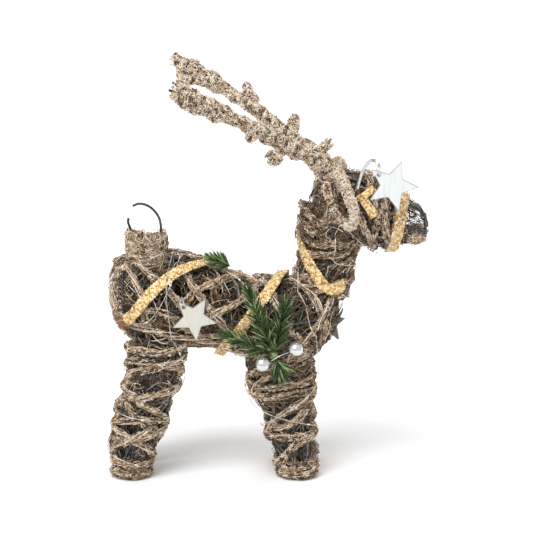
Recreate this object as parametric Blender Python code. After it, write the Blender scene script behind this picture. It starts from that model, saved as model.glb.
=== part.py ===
"""Light up yard reindeer: a wire frame wrapped in rope, with stars, ribbons, pine and lights.

Dimensions are in millimetres and become metres when an object is made.
+X points to the nose, -Y is the side with the pine sprig, +Z is up, and the feet stand on Z = 0.
"""

import math

import bmesh
import bpy
import numpy as np
from mathutils import Matrix, Vector

MM = 0.001
GAP = 0.3
FACET_ROOM = 2.2

ROPE_WALL = 4.3
WIRE_R = 1.25
HOOP_R = WIRE_R * 0.93
BORE_R = WIRE_R + 0.6
FINE_WIRE_R = 0.5
WIRE_DEPTH = ROPE_WALL + FACET_ROOM + WIRE_R
LEAD_ROOM = 5.0
RING_SIDES = 12
WIRE_SIDES = 5
LIGHT_SIDES = 4
FLAT_ANGLE = math.radians(0.4)

# Stations of the upright bodies: z, centre x, half length in X, half width in Y.
# Stations of the long bodies: x, centre z, half height in Z, half width in Y.
TORSO = [(-146, 172, 14, 15), (-138, 170, 31, 28), (-122, 164, 40, 39), (-95, 161, 44, 44),
         (-60, 158, 40, 44), (-20, 148, 38, 43), (15, 146.5, 39.5, 43), (42, 150, 41, 39),
         (60, 156, 32, 31), (68, 161, 21, 21), (72, 164, 11, 12)]
HEAD = [(37, 247, 13, 12), (45, 248, 27, 20), (58, 248, 36, 26), (78, 248, 39, 28),
        (98, 244, 35.5, 27), (118, 237, 28, 24), (130, 235, 24, 20)]
NOSE = [(130, 235, 24, 20), (139, 232.5, 20, 16.5), (145, 230.5, 14, 13), (147.5, 229, 7, 9)]
NECK = [(165, 49, 29, 31), (185, 52, 28, 30), (205, 55, 27.5, 28), (225, 59, 29, 27),
        (245, 62, 27, 25)]
TAIL = [(190, -110, 17, 14), (205, -110.5, 18, 14.5), (218, -111, 18.5, 15),
        (227.5, -111.3, 18, 14.5)]
REAR_LEG = [(0, -125.5, 17, 15), (12, -125, 19, 16.5), (31, -123, 22.5, 17.5),
            (50, -118, 25.5, 18), (64, -113, 26, 18), (85, -106, 25.5, 18), (112, -102, 28, 18),
            (140, -100, 30, 18)]
FRONT_LEG = [(0, 28, 17, 15), (14, 27, 20, 16.5), (33, 23, 23, 17.5), (55, 20.5, 24.5, 18),
             (74, 16.5, 29, 18), (91, 14, 31.5, 18), (115, 13, 33, 18), (140, 13, 33, 18)]
LEG_Y = 28

HEAD_WRAP_END = 129.6
TAIL_WALL = 2.0
NOSE_DEPTH = 2.5
JAW_WALL = 1.0
JAW = [(130.6, 221, 8.5, 14.5), (136, 221, 9, 13.8), (140, 221.3, 8.5, 12.5), (143.3, 221.6, 7.2, 11)]

HOOK = [(-97.3, 0, 200), (-97.2, 0, 226), (-99, 0, 238), (-104.4, 0, 246), (-111, 0, 250.5),
        (-118, 0, 251.5), (-123, 0, 249.4)]
HOOK_STUB = [(-124.4, 0, 198), (-124.8, 0, 212), (-125.4, 0, 227), (-127.5, 0, 234), (-127, 0, 238)]

# Antlers: the beam for the +Y side, and each side's tines as (point on the beam, tip).
BEAM = [(60, 9, 276), (47, 15, 293), (30, 22, 305), (5, 38, 321), (-20, 52, 337),
        (-52, 70, 355), (-84, 86, 371)]
TINES = {"left": [((-8, 45, 329), (-20, 70, 349)), ((22, 27, 309), (26, 46, 324)),
                  ((-52, 70, 355), (-82, 62, 355)), ((46, 15, 293), (57, 20, 306))],
         "right": [((-8, 45, 329), (-16, 70, 325)), ((20, 28, 311), (5, 54, 305)),
                   ((-52, 70, 355), (-82, 60, 373))]}
ANTLER_R = 7.0
TINE_R = 5.6

EAR = [(67, 20.5, 269), (64.5, 28.5, 285), (67, 35.5, 283), (72, 39, 271), (77, 40, 258),
       (79, 39, 246), (75, 38, 238), (68, 39.5, 243), (61, 40, 254), (55.5, 38.5, 267),
       (53, 32, 275), (54, 20, 268)]
EAR_R = 3.6

# Ribbons: (along, angle) on a body, where the angle is 0 at the top and negative on the -Y side.
RIBBON_W = 11.0
RIBBON_T = 1.4
RUMP_RIBBON = [(-134, -133), (-125, -107), (-108, -74), (-86, -45), (-62, -16), (-46, 14),
               (-40, 50), (-44, 80)]
SHOULDER_RIBBON = [(-44, -146), (-36, -125), (-23, -95), (-5, -56), (6, -28), (14, 4), (15, 40),
                   (12, 75)]
NECK_RIBBON = [(222, 110), (228, 150), (225, 180), (213, 215), (199, 245), (187, 275),
               (183, 305)]
MUZZLE_RIBBON = [(123, 60), (126, 20), (125.5, -20), (123, -62), (119.5, -100), (115.5, -140),
                 (112, -172)]
CHEEK_RIBBON = [(85, -62), (89, -71), (94, -80), (98, -88)]

# Stars: centre, radius, direction of the arm with the hole, and turn about Z, in degrees.
FLANK_STAR = ((-66.2, -55, 157), 21.4, 132, 0)
FACE_STAR = ((113, -40, 276.6), 24.2, 141, 0)
CHEST_STAR = ((58, 40.5, 130), 19, 90, -37)
STAR_T = 3.0
STAR_INNER = 0.46
STAR_HOLE_AT = 0.66
STAR_HOLE_R = 1.5
HANGER_R = 0.6
RING_R = 4.6
STAPLE_HALF = 4.5
STAPLE_LIFT = 1.1

SPRIG_BASE = (6, -55, 122)
SPRIG_TIPS = [(-19, -61, 188), (18, -61, 178), (-42, -58, 144), (16, -58, 102)]
SPRIG_START = 9.0
SPRIG_R = 7.4
SPRIG_TIE_R = 4.2
BACK_TIP = [(-34, -10, 199), (-58, -6, 208)]
BACK_TIP_R = 6.0

PEARL_R = 6.7
PEARLS = [(-4, -65, 116.5), (26, -62, 130)]
PEARL_WIRE_SAG = [(5, -67, 121), (12, -66.5, 125)]

CASE = {"x": (-75.5, -13.5), "y": 13.0, "z": (119.0, 134.6)}
CASE_WALL = 1.5
BAY_END = -25.0
LEAD_Y = 7.0
LEAD_Z = 129.0
LID_T = 1.6
LID_GAP = 0.5
CELL_R = 5.25
CELL_L = 44.5
CELL_Y = 5.6
NIB_R = 2.4
NIB_L = 1.2
NIB_ROOT = 0.8
TIE_W = 3.0
TIE_T = 0.8

LIGHT_LIFT = 4.4
LINE_TOLERANCE = 0.7
LAMP_R = 1.3
LAMP_L = 4.0
LAMP_SPACING = 80

MATERIALS = {
    "steel_wire": ((0.06, 0.06, 0.065, 1), 0.5, 0.8),
    "rope": ((0.50, 0.36, 0.22, 1), 0.85, 0.0),
    "ribbon": ((0.78, 0.52, 0.20, 1), 0.38, 0.6),
    "painted_wood": ((0.86, 0.87, 0.87, 1), 0.6, 0.0),
    "silver_wire": ((0.80, 0.80, 0.82, 1), 0.25, 1.0),
    "pine": ((0.05, 0.16, 0.05, 1), 0.6, 0.0),
    "pearl": ((0.80, 0.80, 0.81, 1), 0.2, 0.7),
    "case_plastic": ((0.05, 0.05, 0.05, 1), 0.5, 0.0),
    "cell": ((0.60, 0.40, 0.10, 1), 0.35, 0.6),
    "contact": ((0.75, 0.74, 0.70, 1), 0.3, 1.0),
    "board": ((0.03, 0.25, 0.10, 1), 0.5, 0.0),
}


def clear_scene():
    for item in list(bpy.data.objects):
        bpy.data.objects.remove(item, do_unlink=True)


def material(name):
    found = bpy.data.materials.get(name)
    if found:
        return found
    colour, roughness, metallic = MATERIALS[name]
    made = bpy.data.materials.new(name)
    made.use_nodes = True
    shader = made.node_tree.nodes["Principled BSDF"]
    shader.inputs["Base Color"].default_value = colour
    shader.inputs["Roughness"].default_value = roughness
    shader.inputs["Metallic"].default_value = metallic
    return made


def eased(stations, per_span=6):
    """Points of a Catmull-Rom curve through the stations, in any number of dimensions."""
    p = np.array(stations, float)
    p = np.vstack([2 * p[0] - p[1], p, 2 * p[-1] - p[-2]])
    out = []
    for i in range(1, len(p) - 2):
        for k in range(per_span):
            t = k / per_span
            out.append(0.5 * (2 * p[i] + (p[i + 1] - p[i - 1]) * t
                              + (2 * p[i - 1] - 5 * p[i] + 4 * p[i + 1] - p[i + 2]) * t ** 2
                              + (3 * p[i] - p[i - 1] - 3 * p[i + 1] + p[i + 2]) * t ** 3))
    out.append(p[-2])
    return np.array(out)


def evenly(points, step):
    """The same curve with its points about one step apart."""
    p = np.array(points, float)
    run = np.concatenate([[0], np.cumsum(np.linalg.norm(np.diff(p, axis=0), axis=1))])
    count = max(2, int(round(run[-1] / step)) + 1)
    at = np.linspace(0, run[-1], count)
    return np.stack([np.interp(at, run, p[:, k]) for k in range(p.shape[1])], axis=1)


class Body:
    """A rounded body with elliptical sections. Its stations run along X, or along Z if upright."""

    def __init__(self, stations, upright=False, y=0.0):
        self.upright = upright
        self.y = y
        self.dense = eased(stations, 8)
        self.low = self.dense[0, 0]
        self.high = self.dense[-1, 0]

    def point(self, along, angle, lift=0.0):
        """A point on the surface. Angle 0 is the top, or +X on an upright body, in degrees."""
        centre, half, width = (np.interp(along, self.dense[:, 0], self.dense[:, k])
                               for k in (1, 2, 3))
        c = math.cos(math.radians(angle)) * (half + lift)
        s = math.sin(math.radians(angle)) * (width + lift)
        if self.upright:
            return Vector((centre + c, self.y + s, along))
        return Vector((along, self.y + s, centre + c))

    def normal(self, along, angle):
        out = self.point(along, angle, 1.0) - self.point(along, angle)
        slope = self.point(along + 1, angle) - self.point(along - 1, angle)
        out -= slope * out.dot(slope) / slope.length_squared
        return out.normalized()

    def rings(self, step, lift=0.0, low=None, high=None, sides=RING_SIDES):
        low = self.low if low is None else low
        high = self.high if high is None else high
        stops = [row for row in self.dense if low < row[0] < high]
        ends = [[np.interp(at, self.dense[:, 0], self.dense[:, k]) for k in range(4)]
                for at in (low, high)]
        at = evenly([ends[0]] + stops + [ends[1]], step)[:, 0]
        return [[self.point(a, 360 * k / sides, lift) for k in range(sides)] for a in at]


def new_object(name, verts, faces, mat):
    mesh = bpy.data.meshes.new(name)
    mesh.from_pydata([tuple(Vector(v) * MM) for v in verts], [], faces)
    work = bmesh.new()
    work.from_mesh(mesh)
    bmesh.ops.recalc_face_normals(work, faces=work.faces)
    work.to_mesh(mesh)
    work.free()
    made = bpy.data.objects.new(name, mesh)
    bpy.context.collection.objects.link(made)
    mesh.materials.append(material(mat))
    mesh.shade_smooth()
    mesh.set_sharp_from_angle(angle=math.radians(40))
    return made


def as_guide(item):
    item.hide_render = True
    item.display_type = "WIRE"
    return item


def skin(rings, closed=False):
    """Side faces between rings of equal size, as vertices and faces."""
    sides = len(rings[0])
    verts = [v for ring in rings for v in ring]
    faces = []
    last = len(rings) if closed else len(rings) - 1
    for i in range(last):
        j = (i + 1) % len(rings)
        for k in range(sides):
            m = (k + 1) % sides
            faces.append((i * sides + k, i * sides + m, j * sides + m, j * sides + k))
    return verts, faces


def lofted(name, rings, mat, closed=False):
    verts, faces = skin(rings, closed)
    if not closed:
        sides = len(rings[0])
        faces.append(tuple(range(sides)))
        faces.append(tuple(len(verts) - sides + k for k in range(sides)))
    return new_object(name, verts, faces, mat)


def hollow(name, outer, inner, mat):
    """A sleeve open at both ends, between outer rings and inner rings."""
    return lofted(name, outer + inner[::-1], mat, closed=True)


def frames_along(points, closed):
    """A pair of cross directions at each point, carried along without twist."""
    count = len(points)
    tangents = []
    for i in range(count):
        before = points[(i - 1) % count] if closed or i > 0 else points[0]
        after = points[(i + 1) % count] if closed or i < count - 1 else points[-1]
        tangents.append((after - before).normalized())
    side = tangents[0].orthogonal().normalized()
    out = []
    for t in tangents:
        side = (side - t * side.dot(t)).normalized()
        out.append((side.copy(), t.cross(side)))
    return out


def tube_rings(points, radii, sides, closed=False):
    points = [Vector(p) for p in points]
    rings = []
    for p, r, (a, b) in zip(points, radii, frames_along(points, closed)):
        rings.append([p + (a * math.cos(q) + b * math.sin(q)) * r
                      for q in (2 * math.pi * (k + 0.5) / sides for k in range(sides))])
    return rings


def tube(name, points, radius, mat, sides=WIRE_SIDES, closed=False):
    radii = radius if hasattr(radius, "__len__") else [radius] * len(points)
    return lofted(name, tube_rings(points, radii, sides, closed), mat, closed)


def baked(item):
    """Replace an object's mesh by its evaluated one, and drop its modifiers."""
    graph = bpy.context.evaluated_depsgraph_get()
    mesh = bpy.data.meshes.new_from_object(item.evaluated_get(graph))
    item.modifiers.clear()
    item.data = mesh
    work = bmesh.new()
    work.from_mesh(mesh)
    bmesh.ops.dissolve_limit(work, angle_limit=FLAT_ANGLE, verts=work.verts, edges=work.edges)
    bmesh.ops.triangulate(work, faces=work.faces)
    if all(edge.is_manifold for edge in work.edges):
        work.to_mesh(mesh)
    work.free()
    return item


def boolean(item, other, operation):
    step = item.modifiers.new(operation.lower(), "BOOLEAN")
    step.operation = operation
    step.object = other
    step.solver = "EXACT"


def fused(name, parts):
    """One object from overlapping parts."""
    first = parts[0]
    for other in parts[1:]:
        boolean(first, other, "UNION")
        baked(first)
        bpy.data.objects.remove(other, do_unlink=True)
    first.name = name
    first.data.name = name
    return first


def carved(item, cutters):
    for cutter in cutters:
        boolean(item, cutter, "DIFFERENCE")
        baked(item)
    return item


def box(name, low, high, mat):
    low, high = Vector(low), Vector(high)
    ring = [(low.x, low.y), (high.x, low.y), (high.x, high.y), (low.x, high.y)]
    rings = [[Vector((x, y, z)) for x, y in ring] for z in (low.z, high.z)]
    return lofted(name, rings, mat)


def rail(body, low, high, angle, depth, step=22):
    stops = np.linspace(low, high, max(3, int(abs(high - low) / step) + 1))
    return [body.point(a, angle, -depth) for a in stops]


def hoop(body, along, depth, start=-180, end=180, count=12):
    if end - start >= 360:
        return [body.point(along, start + 360 * k / count, -depth) for k in range(count)], True
    return [body.point(along, start + (end - start) * k / count, -depth)
            for k in range(count + 1)], False


def cage(name, body, rails, hoops, depth):
    """A welded cage of rails (low, high, angle) and hoops (along, start, end)."""
    parts = []
    for low, high, angle in rails:
        parts.append(tube("rail", rail(body, low, high, angle, depth), WIRE_R, "steel_wire"))
    for along, start, end in hoops:
        points, closed = hoop(body, along, depth, start, end)
        parts.append(tube("hoop", points, HOOP_R, "steel_wire", closed=closed))
    return fused(name, parts)


def torso_parts(torso, legs, neck, tail):
    wrap = hollow("torso_wrap", torso.rings(17), torso.rings(17, -ROPE_WALL), "rope")
    holes = [lofted("hole", leg.rings(30, GAP - ROPE_WALL, 95, 139, 8), "rope") for leg in legs]
    holes.append(lofted("hole", neck.rings(36, GAP - ROPE_WALL, 168, 240, 8), "rope"))
    holes.append(lofted("hole", tail.rings(40, GAP - TAIL_WALL, 191, 226, 8), "rope"))
    (x0, x1), y = CASE["x"], CASE["y"] + 1.2
    holes.append(box("hole", (x0 - 1.2, -y, 90), (x1 + LEAD_ROOM, y, 135), "rope"))
    carved(wrap, holes)
    for item in holes:
        bpy.data.objects.remove(item, do_unlink=True)
    rails = [(-133, 58, 0), (-133, 58, 90), (-133, 58, -90), (-132, 57, 151), (-132, 57, -151)]
    hoops = [(-132, -180, 180), (-86, -151, 151), (-4, -151, 151), (57, -180, 180)]
    cage("torso_frame", torso, rails, hoops, WIRE_DEPTH)


def limb(name, body, low, high, cutters, wall=ROPE_WALL):
    wrap = hollow(name, body.rings(20, 0, low, high), body.rings(20, -wall, low, high), "rope")
    return carved(wrap, cutters)


def leg_parts(place, body, torso_solid, torso_core):
    limb("leg_wrap_" + place, body, 0, 138, [torso_solid])
    rails = [(3, 137, angle) for angle in (0, 90, 180, 270)]
    frame = cage("leg_frame_" + place, body, rails, [(3, -180, 180)], WIRE_DEPTH)
    carved(frame, [torso_core])


def head_parts(head, neck_core, nose):
    """The head wrap, the jaw wrap, and the frame, whose front stays bare as the nose."""
    wrap = hollow("head_wrap", head.rings(10, 0, None, HEAD_WRAP_END),
                  head.rings(10, -ROPE_WALL, None, HEAD_WRAP_END), "rope")
    carved(wrap, [neck_core])
    parts = []
    for angle in (35, -35, 145, -145):
        back = rail(head, 52, 127, angle, WIRE_DEPTH, 15) + [nose.point(132, angle, -WIRE_DEPTH)]
        front = [nose.point(a, angle, -NOSE_DEPTH) for a in (136, 140, 143, 145.5)]
        parts.append(tube("rail", back + front, WIRE_R, "steel_wire"))
    for body, along, inset in ((head, 58, WIRE_DEPTH), (head, 98, WIRE_DEPTH),
                               (nose, 145, NOSE_DEPTH)):
        points, closed = hoop(body, along, inset)
        parts.append(tube("hoop", points, HOOP_R, "steel_wire", closed=closed))
    bar = [head.point(98, -93, -WIRE_DEPTH), head.point(116, -93, -WIRE_DEPTH)]
    bar.append(nose.point(132, -93, -WIRE_DEPTH))
    bar += [nose.point(a, -93, -NOSE_DEPTH) for a in (138, 145)]
    parts.append(tube("bar", bar, WIRE_R * 0.85, "steel_wire"))
    fused("head_frame", parts)
    jaw = Body(JAW)
    hollow("jaw_wrap", jaw.rings(5.5, 0), jaw.rings(5.5, -JAW_WALL), "rope")


def mirrored(points, sign):
    return [(x, y * sign, z) for x, y, z in points]


def taper(count, start, middle, end):
    at = np.linspace(0, 1, count)
    return list(np.interp(at, [0, 0.25, 0.6, 1], [start, middle, middle, end]))


def antler_parts(side, sign, head_solid):
    beam = evenly(eased(mirrored(BEAM, sign)), 14)
    tines = [evenly(mirrored(t, sign), 10) for t in TINES[side]]
    outer = [tube("beam", beam, taper(len(beam), 11, ANTLER_R + 0.6, ANTLER_R - 1.2), "rope", 9)]
    for tine in tines:
        radii = np.linspace(TINE_R + 1, TINE_R - 1.4, len(tine))
        outer.append(tube("tine", tine, list(radii), "rope", 7))
    wrap = fused("antler_wrap_" + side, outer)
    bores = []
    for line in [beam] + tines:
        start, end = Vector(line[0]), Vector(line[-1])
        reach = (end - Vector(line[-2])).normalized() * 5
        bores.append(tube("bore", [start] + list(line[1:-1]) + [end, end + reach],
                          BORE_R, "rope", 5))
    bore = fused("bore", bores)
    carved(wrap, [bore, head_solid])
    bpy.data.objects.remove(bore, do_unlink=True)
    wires = []
    for line in [beam] + tines:
        end = Vector(line[-1])
        reach = (end - Vector(line[-2])).normalized() * 3
        wires.append(tube("wire", list(line[:-1]) + [end, end + reach], WIRE_R, "steel_wire"))
    wire = fused("antler_wire_" + side, wires)
    carved(wire, [head_solid])


def ear_parts(side, sign, head_solid):
    path = evenly(eased(mirrored(EAR, sign)), 10)
    outer = tube_rings(path, [EAR_R] * len(path), 7)
    inner = tube_rings(path, [BORE_R] * len(path), 7)
    wrap = hollow("ear_wrap_" + side, outer, inner, "rope")
    carved(wrap, [head_solid])
    carved(tube("ear_wire_" + side, path, WIRE_R, "steel_wire"), [head_solid])


def band(name, line, width, thickness):
    """A flat strip through (point, normal) pairs."""
    points = [Vector(p) for p, _ in line]
    rings = []
    for i, (p, n) in enumerate(line):
        ahead = points[min(i + 1, len(points) - 1)] - points[max(i - 1, 0)]
        across = ahead.cross(n).normalized() * width / 2
        up = n * thickness / 2
        rings.append([p - across - up, p + across - up, p + across + up, p - across + up])
    return lofted(name, rings, "ribbon")


def ribbon(name, body, route, width=RIBBON_W, lift=0.0):
    stops = evenly(eased(route), 7)
    rise = GAP * 2 + RIBBON_T / 2 + lift
    line = [(body.point(a, q, rise), body.normal(a, q)) for a, q in stops]
    return band(name, line, width, RIBBON_T)


def star(name, centre, radius, hole_angle, turn):
    """A five-pointed board in the XZ plane, turned about Z. Its origin is its hanging hole."""
    points = []
    for k in range(10):
        r = radius if k % 2 == 0 else radius * STAR_INNER
        q = math.radians(hole_angle + 36 * k)
        points.append((r * math.cos(q), r * math.sin(q)))
    turning = Matrix.Rotation(math.radians(turn), 3, "Z")
    centre = Vector(centre)
    rings = [[centre + turning @ Vector((x, y, z)) for x, z in points]
             for y in (-STAR_T / 2, STAR_T / 2)]
    board = lofted(name, rings, "painted_wood")
    q = math.radians(hole_angle)
    hole = Vector((math.cos(q), 0, math.sin(q))) * radius * STAR_HOLE_AT
    drill = tube("drill", [centre + turning @ (hole + Vector((0, y, 0))) for y in (-5, 5)],
                 STAR_HOLE_R, "painted_wood", 12)
    carved(board, [drill])
    bpy.data.objects.remove(drill, do_unlink=True)
    eye = centre + turning @ hole
    place_origin(board, eye)
    return eye


def hanging_ring(name, eye, out, up):
    """A wire ring whose lowest point runs through the eye. Its origin is where it hangs."""
    out, up = Vector(out).normalized(), Vector(up).normalized()
    centre = eye + up * RING_R
    points = []
    for k in range(20):
        q = 2 * math.pi * k / 20
        points.append(centre + (out * math.sin(q) - up * math.cos(q)) * RING_R)
    ring = tube(name, points, HANGER_R, "silver_wire", closed=True)
    pivot = eye + up * (2 * RING_R - 2 * HANGER_R - GAP)
    place_origin(ring, pivot)
    return pivot


def bent_wire(name, points):
    return tube(name, evenly(eased(points), 2.5), HANGER_R, "silver_wire")


def star_parts(torso, head):
    eye = star("flank_star", *FLANK_STAR)
    pivot = hanging_ring("flank_ring", eye, (0.3, -0.95, 0), (-0.2, 0, 1))
    side = Vector((0.95, 0.3, 0))
    bent_wire("flank_staple", [torso.point(pivot.x - 4, -73, STAPLE_LIFT), pivot - side * STAPLE_HALF, pivot,
                               pivot + side * STAPLE_HALF, torso.point(pivot.x + 5, -73, STAPLE_LIFT)])
    eye = star("face_star", *FACE_STAR)
    bent_wire("face_hook", [head.point(83, -50, 1.3), (84, -29, 281), (88, -34, 292),
                            (94.5, -38, 299.5), (100, -43, 297), eye + Vector((0.6, -3, 1.2)), eye,
                            eye + Vector((-1, 3.5, 1.5)), eye + Vector((-2, 4, 5))])
    eye = star("chest_star", *CHEST_STAR)
    side = Vector((0.8, -0.6, 0))
    pivot = hanging_ring("chest_ring", eye, (0.6, 0.8, 0), (0, 0, 1))
    bent_wire("chest_staple", [torso.point(pivot.x - 5, 84, STAPLE_LIFT), pivot - side * STAPLE_HALF, pivot,
                               pivot + side * STAPLE_HALF, torso.point(pivot.x + 3, 84, STAPLE_LIFT)])


def pine_branch(name, start, end, radius):
    start, end = Vector(start), Vector(end)
    stops = [0, 0.12, 0.4, 0.68, 0.88, 1]
    swell = [0.25, 0.42, 0.9, 1.0, 0.7, 0.15]
    points = [start.lerp(end, t) for t in stops]
    return tube(name, points, [radius * s for s in swell], "pine", 10)


def ball(name, centre, radius, mat, segments=14, rings=8):
    made = bpy.data.meshes.new(name)
    work = bmesh.new()
    bmesh.ops.create_uvsphere(work, u_segments=segments, v_segments=rings, radius=radius * MM)
    bmesh.ops.translate(work, verts=work.verts, vec=Vector(centre) * MM)
    work.to_mesh(made)
    work.free()
    made.materials.append(material(mat))
    made.shade_smooth()
    item = bpy.data.objects.new(name, made)
    bpy.context.collection.objects.link(item)
    return item


def place_origin(item, point):
    """Move an object's origin to a point without moving its shape."""
    offset = Vector(point) * MM
    item.data.transform(Matrix.Translation(-offset))
    item.location = offset


def centre_on_floor():
    """Move everything so the middle of the box around the shape is over the origin."""
    bpy.context.view_layer.update()
    corners = [item.matrix_world @ Vector(c) for item in bpy.data.objects
               if not item.hide_render for c in item.bound_box]
    shift = [(min(c[k] for c in corners) + max(c[k] for c in corners)) / 2 for k in (0, 1)]
    for item in bpy.data.objects:
        item.location.x -= shift[0]
        item.location.y -= shift[1]


def main():
    clear_scene()
    torso = Body(TORSO)
    head = Body(HEAD)
    nose = Body(NOSE)
    neck = Body(NECK, upright=True)
    tail = Body(TAIL, upright=True)
    legs = {"rear_left": Body(REAR_LEG, True, LEG_Y), "rear_right": Body(REAR_LEG, True, -LEG_Y),
            "front_left": Body(FRONT_LEG, True, LEG_Y),
            "front_right": Body(FRONT_LEG, True, -LEG_Y)}

    torso_solid = as_guide(lofted("guide_torso", torso.rings(17, GAP), "rope"))
    torso_core = as_guide(lofted("guide_core", torso.rings(17, -ROPE_WALL - 1), "rope"))
    head_solid = as_guide(lofted("guide_head", head.rings(10, GAP), "rope"))
    neck_core = as_guide(lofted("guide_neck", neck.rings(10, GAP - ROPE_WALL, 180, 244), "rope"))

    torso_parts(torso, legs.values(), neck, tail)
    for place, body in legs.items():
        leg_parts(place, body, torso_solid, torso_core)

    limb("neck_wrap", neck, 168, 244, [torso_solid, head_solid])
    head_core = as_guide(lofted("guide_head_core", head.rings(10, -ROPE_WALL - 1), "rope"))
    neck_frame = cage("neck_frame", neck, [(168, 240, q) for q in (0, 90, 180, 270)],
                      [(200, -180, 180)], WIRE_DEPTH)
    carved(neck_frame, [torso_core, head_core])
    head_parts(head, neck_core, nose)

    limb("tail_wrap", tail, 191, 227.5, [torso_solid], TAIL_WALL)
    hook = evenly(eased(HOOK), 4)
    stub = evenly(eased(HOOK_STUB), 4)
    bridge = [(-97.3, 0, 212), (-104, 0, 211), (-119, 0, 211), (-124.8, 0, 212)]
    wires = [tube("wire", bridge, WIRE_R * 0.9, "steel_wire"),
             tube("wire", hook, WIRE_R, "steel_wire"), tube("wire", stub, WIRE_R, "steel_wire")]
    carved(fused("tail_wire", wires), [torso_core])

    for side, sign in (("left", 1), ("right", -1)):
        antler_parts(side, sign, head_solid)
        ear_parts(side, sign, head_solid)

    ribbon("rump_ribbon", torso, RUMP_RIBBON, lift=0.3)
    ribbon("shoulder_ribbon", torso, SHOULDER_RIBBON)
    ribbon("neck_ribbon", neck, NECK_RIBBON)
    ribbon("muzzle_ribbon", head, MUZZLE_RIBBON)
    ribbon("cheek_ribbon", head, CHEEK_RIBBON, 9.0)
    star_parts(torso, head)
    sprig_parts()
    battery_parts()
    light_wires(torso, head, neck, legs["front_right"], legs["rear_right"])
    centre_on_floor()


def sprig_parts():
    base = Vector(SPRIG_BASE)
    for number, tip in enumerate(SPRIG_TIPS, 1):
        tip = Vector(tip)
        start = base + (tip - base).normalized() * SPRIG_START
        pine_branch(f"pine_branch_{number}", start, tip, SPRIG_R)
    ball("sprig_tie", base, SPRIG_TIE_R, "pine")
    pine_branch("pine_tip_back", BACK_TIP[0], BACK_TIP[1], BACK_TIP_R)
    for number, centre in enumerate(PEARLS, 1):
        ball(f"pearl_{number}", centre, PEARL_R, "pearl")
    first, second = (Vector(p) for p in PEARLS)
    way = (second - first).normalized()
    reach = way * (PEARL_R + 2 * GAP)
    line = [first + reach, *PEARL_WIRE_SAG, second - reach]
    tube("pearl_wire", evenly(eased(line), 3), FINE_WIRE_R, "silver_wire", 6)


def battery_parts():
    x0, x1 = CASE["x"]
    y = CASE["y"]
    z0, z1 = CASE["z"]
    wall = CASE_WALL
    case = box("battery_case", (x0, -y, z0), (x1, y, z1), "case_plastic")
    bay = box("cut", (x0 + wall, -y + wall, z0 - 1), (BAY_END, y - wall, z1 - wall), "case_plastic")
    room = box("cut", (BAY_END + wall, -y + wall, z0 + wall), (x1 + 1, y - wall, z1 - wall),
               "case_plastic")
    slot = box("cut", (-20.6, -4.3, z0 - 1), (-16.6, 4.3, z0 + wall + 1), "case_plastic")
    wires = box("cut", (BAY_END - 1, 6, z1 - 4.5), (BAY_END + wall + 1, 9, z1 - 3),
                "case_plastic")
    carved(case, [bay, room, slot, wires])
    for item in (bay, room, slot, wires):
        bpy.data.objects.remove(item, do_unlink=True)
    lid = box("battery_lid", (x0 + wall + LID_GAP, -y + wall + GAP, z0),
              (BAY_END - GAP, y - wall - GAP, z0 + LID_T), "case_plastic")
    place_origin(lid, (x0 + wall + LID_GAP + LID_T / 2, 0, z0 + LID_T / 2))
    cap = box("case_end_cap", (x1 - wall, -y + wall + GAP, z0 + wall + GAP),
              (x1, y - wall - GAP, z1 - wall - GAP), "case_plastic")
    for y_lead in (-LEAD_Y, LEAD_Y):
        lead = tube("cut", [(x1 - 5, y_lead, LEAD_Z), (x1 + 5, y_lead, LEAD_Z)], 1.2,
                    "case_plastic", 10)
        carved(cap, [lead])
        bpy.data.objects.remove(lead, do_unlink=True)
    box("circuit_board", (BAY_END + wall + 1, -9.5, z0 + 6.2), (x1 - wall - 1, 9.5, z0 + 7.4),
        "board")
    stem = box("stem", (-20.3, -4, z0 - 1.4), (-16.9, -0.2, z0 + wall + 1), "case_plastic")
    flange = box("flange", (-21.6, -5.2, z0 + wall + GAP), (-15.8, 1, z0 + wall + 1.8),
                 "case_plastic")
    knob = fused("switch_slider", [flange, stem])
    place_origin(knob, (-18.6, -2.1, z0))
    middle = (z0 + z1) / 2 + 0.2
    for number, sign in ((1, -1), (2, 1)):
        start = x0 + wall + 1.0
        line = [(start, sign * CELL_Y, middle), (start + CELL_L - NIB_L, sign * CELL_Y, middle)]
        barrel = tube("barrel", line, CELL_R, "cell", 18)
        nib = [(start + CELL_L - NIB_L - NIB_ROOT, sign * CELL_Y, middle),
               (start + CELL_L, sign * CELL_Y, middle)]
        fused(f"battery_cell_{number}", [barrel, tube("nib", nib, NIB_R, "cell", 12)])
    box("contact_plate", (x0 + wall + GAP, -9.4, middle - 4), (x0 + wall + 0.7, 9.4, middle + 4),
        "contact")
    for number, sign in ((1, -1), (2, 1)):
        box(f"contact_tab_{number}", (BAY_END - 0.8, sign * CELL_Y - 3, middle - 3.5),
            (BAY_END - GAP, sign * CELL_Y + 3, middle + 3.5), "contact")
    cable_tie((x0 + x1) / 2, y, z0 + 11, z1)


def cable_tie(x, half_width, low, top):
    """A flat band over the top of the battery case and down both of its sides."""
    out = TIE_T / 2 + GAP
    line = []
    for sign in (-1, 1):
        side = [(Vector((x, sign * (half_width + out), z)), Vector((0, sign, 0)))
                for z in (low, top)]
        side.append((Vector((x, sign * half_width, top + out)), Vector((0, sign * 0.5, 1)).normalized()))
        line += side if sign < 0 else side[::-1]
    tie = band("cable_tie", line, TIE_W, TIE_T)
    tie.data.materials[0] = material("case_plastic")


def surface_run(body, route, lift):
    return [tuple(body.point(a, q, lift)) for a, q in eased(route, 8)]


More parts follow.
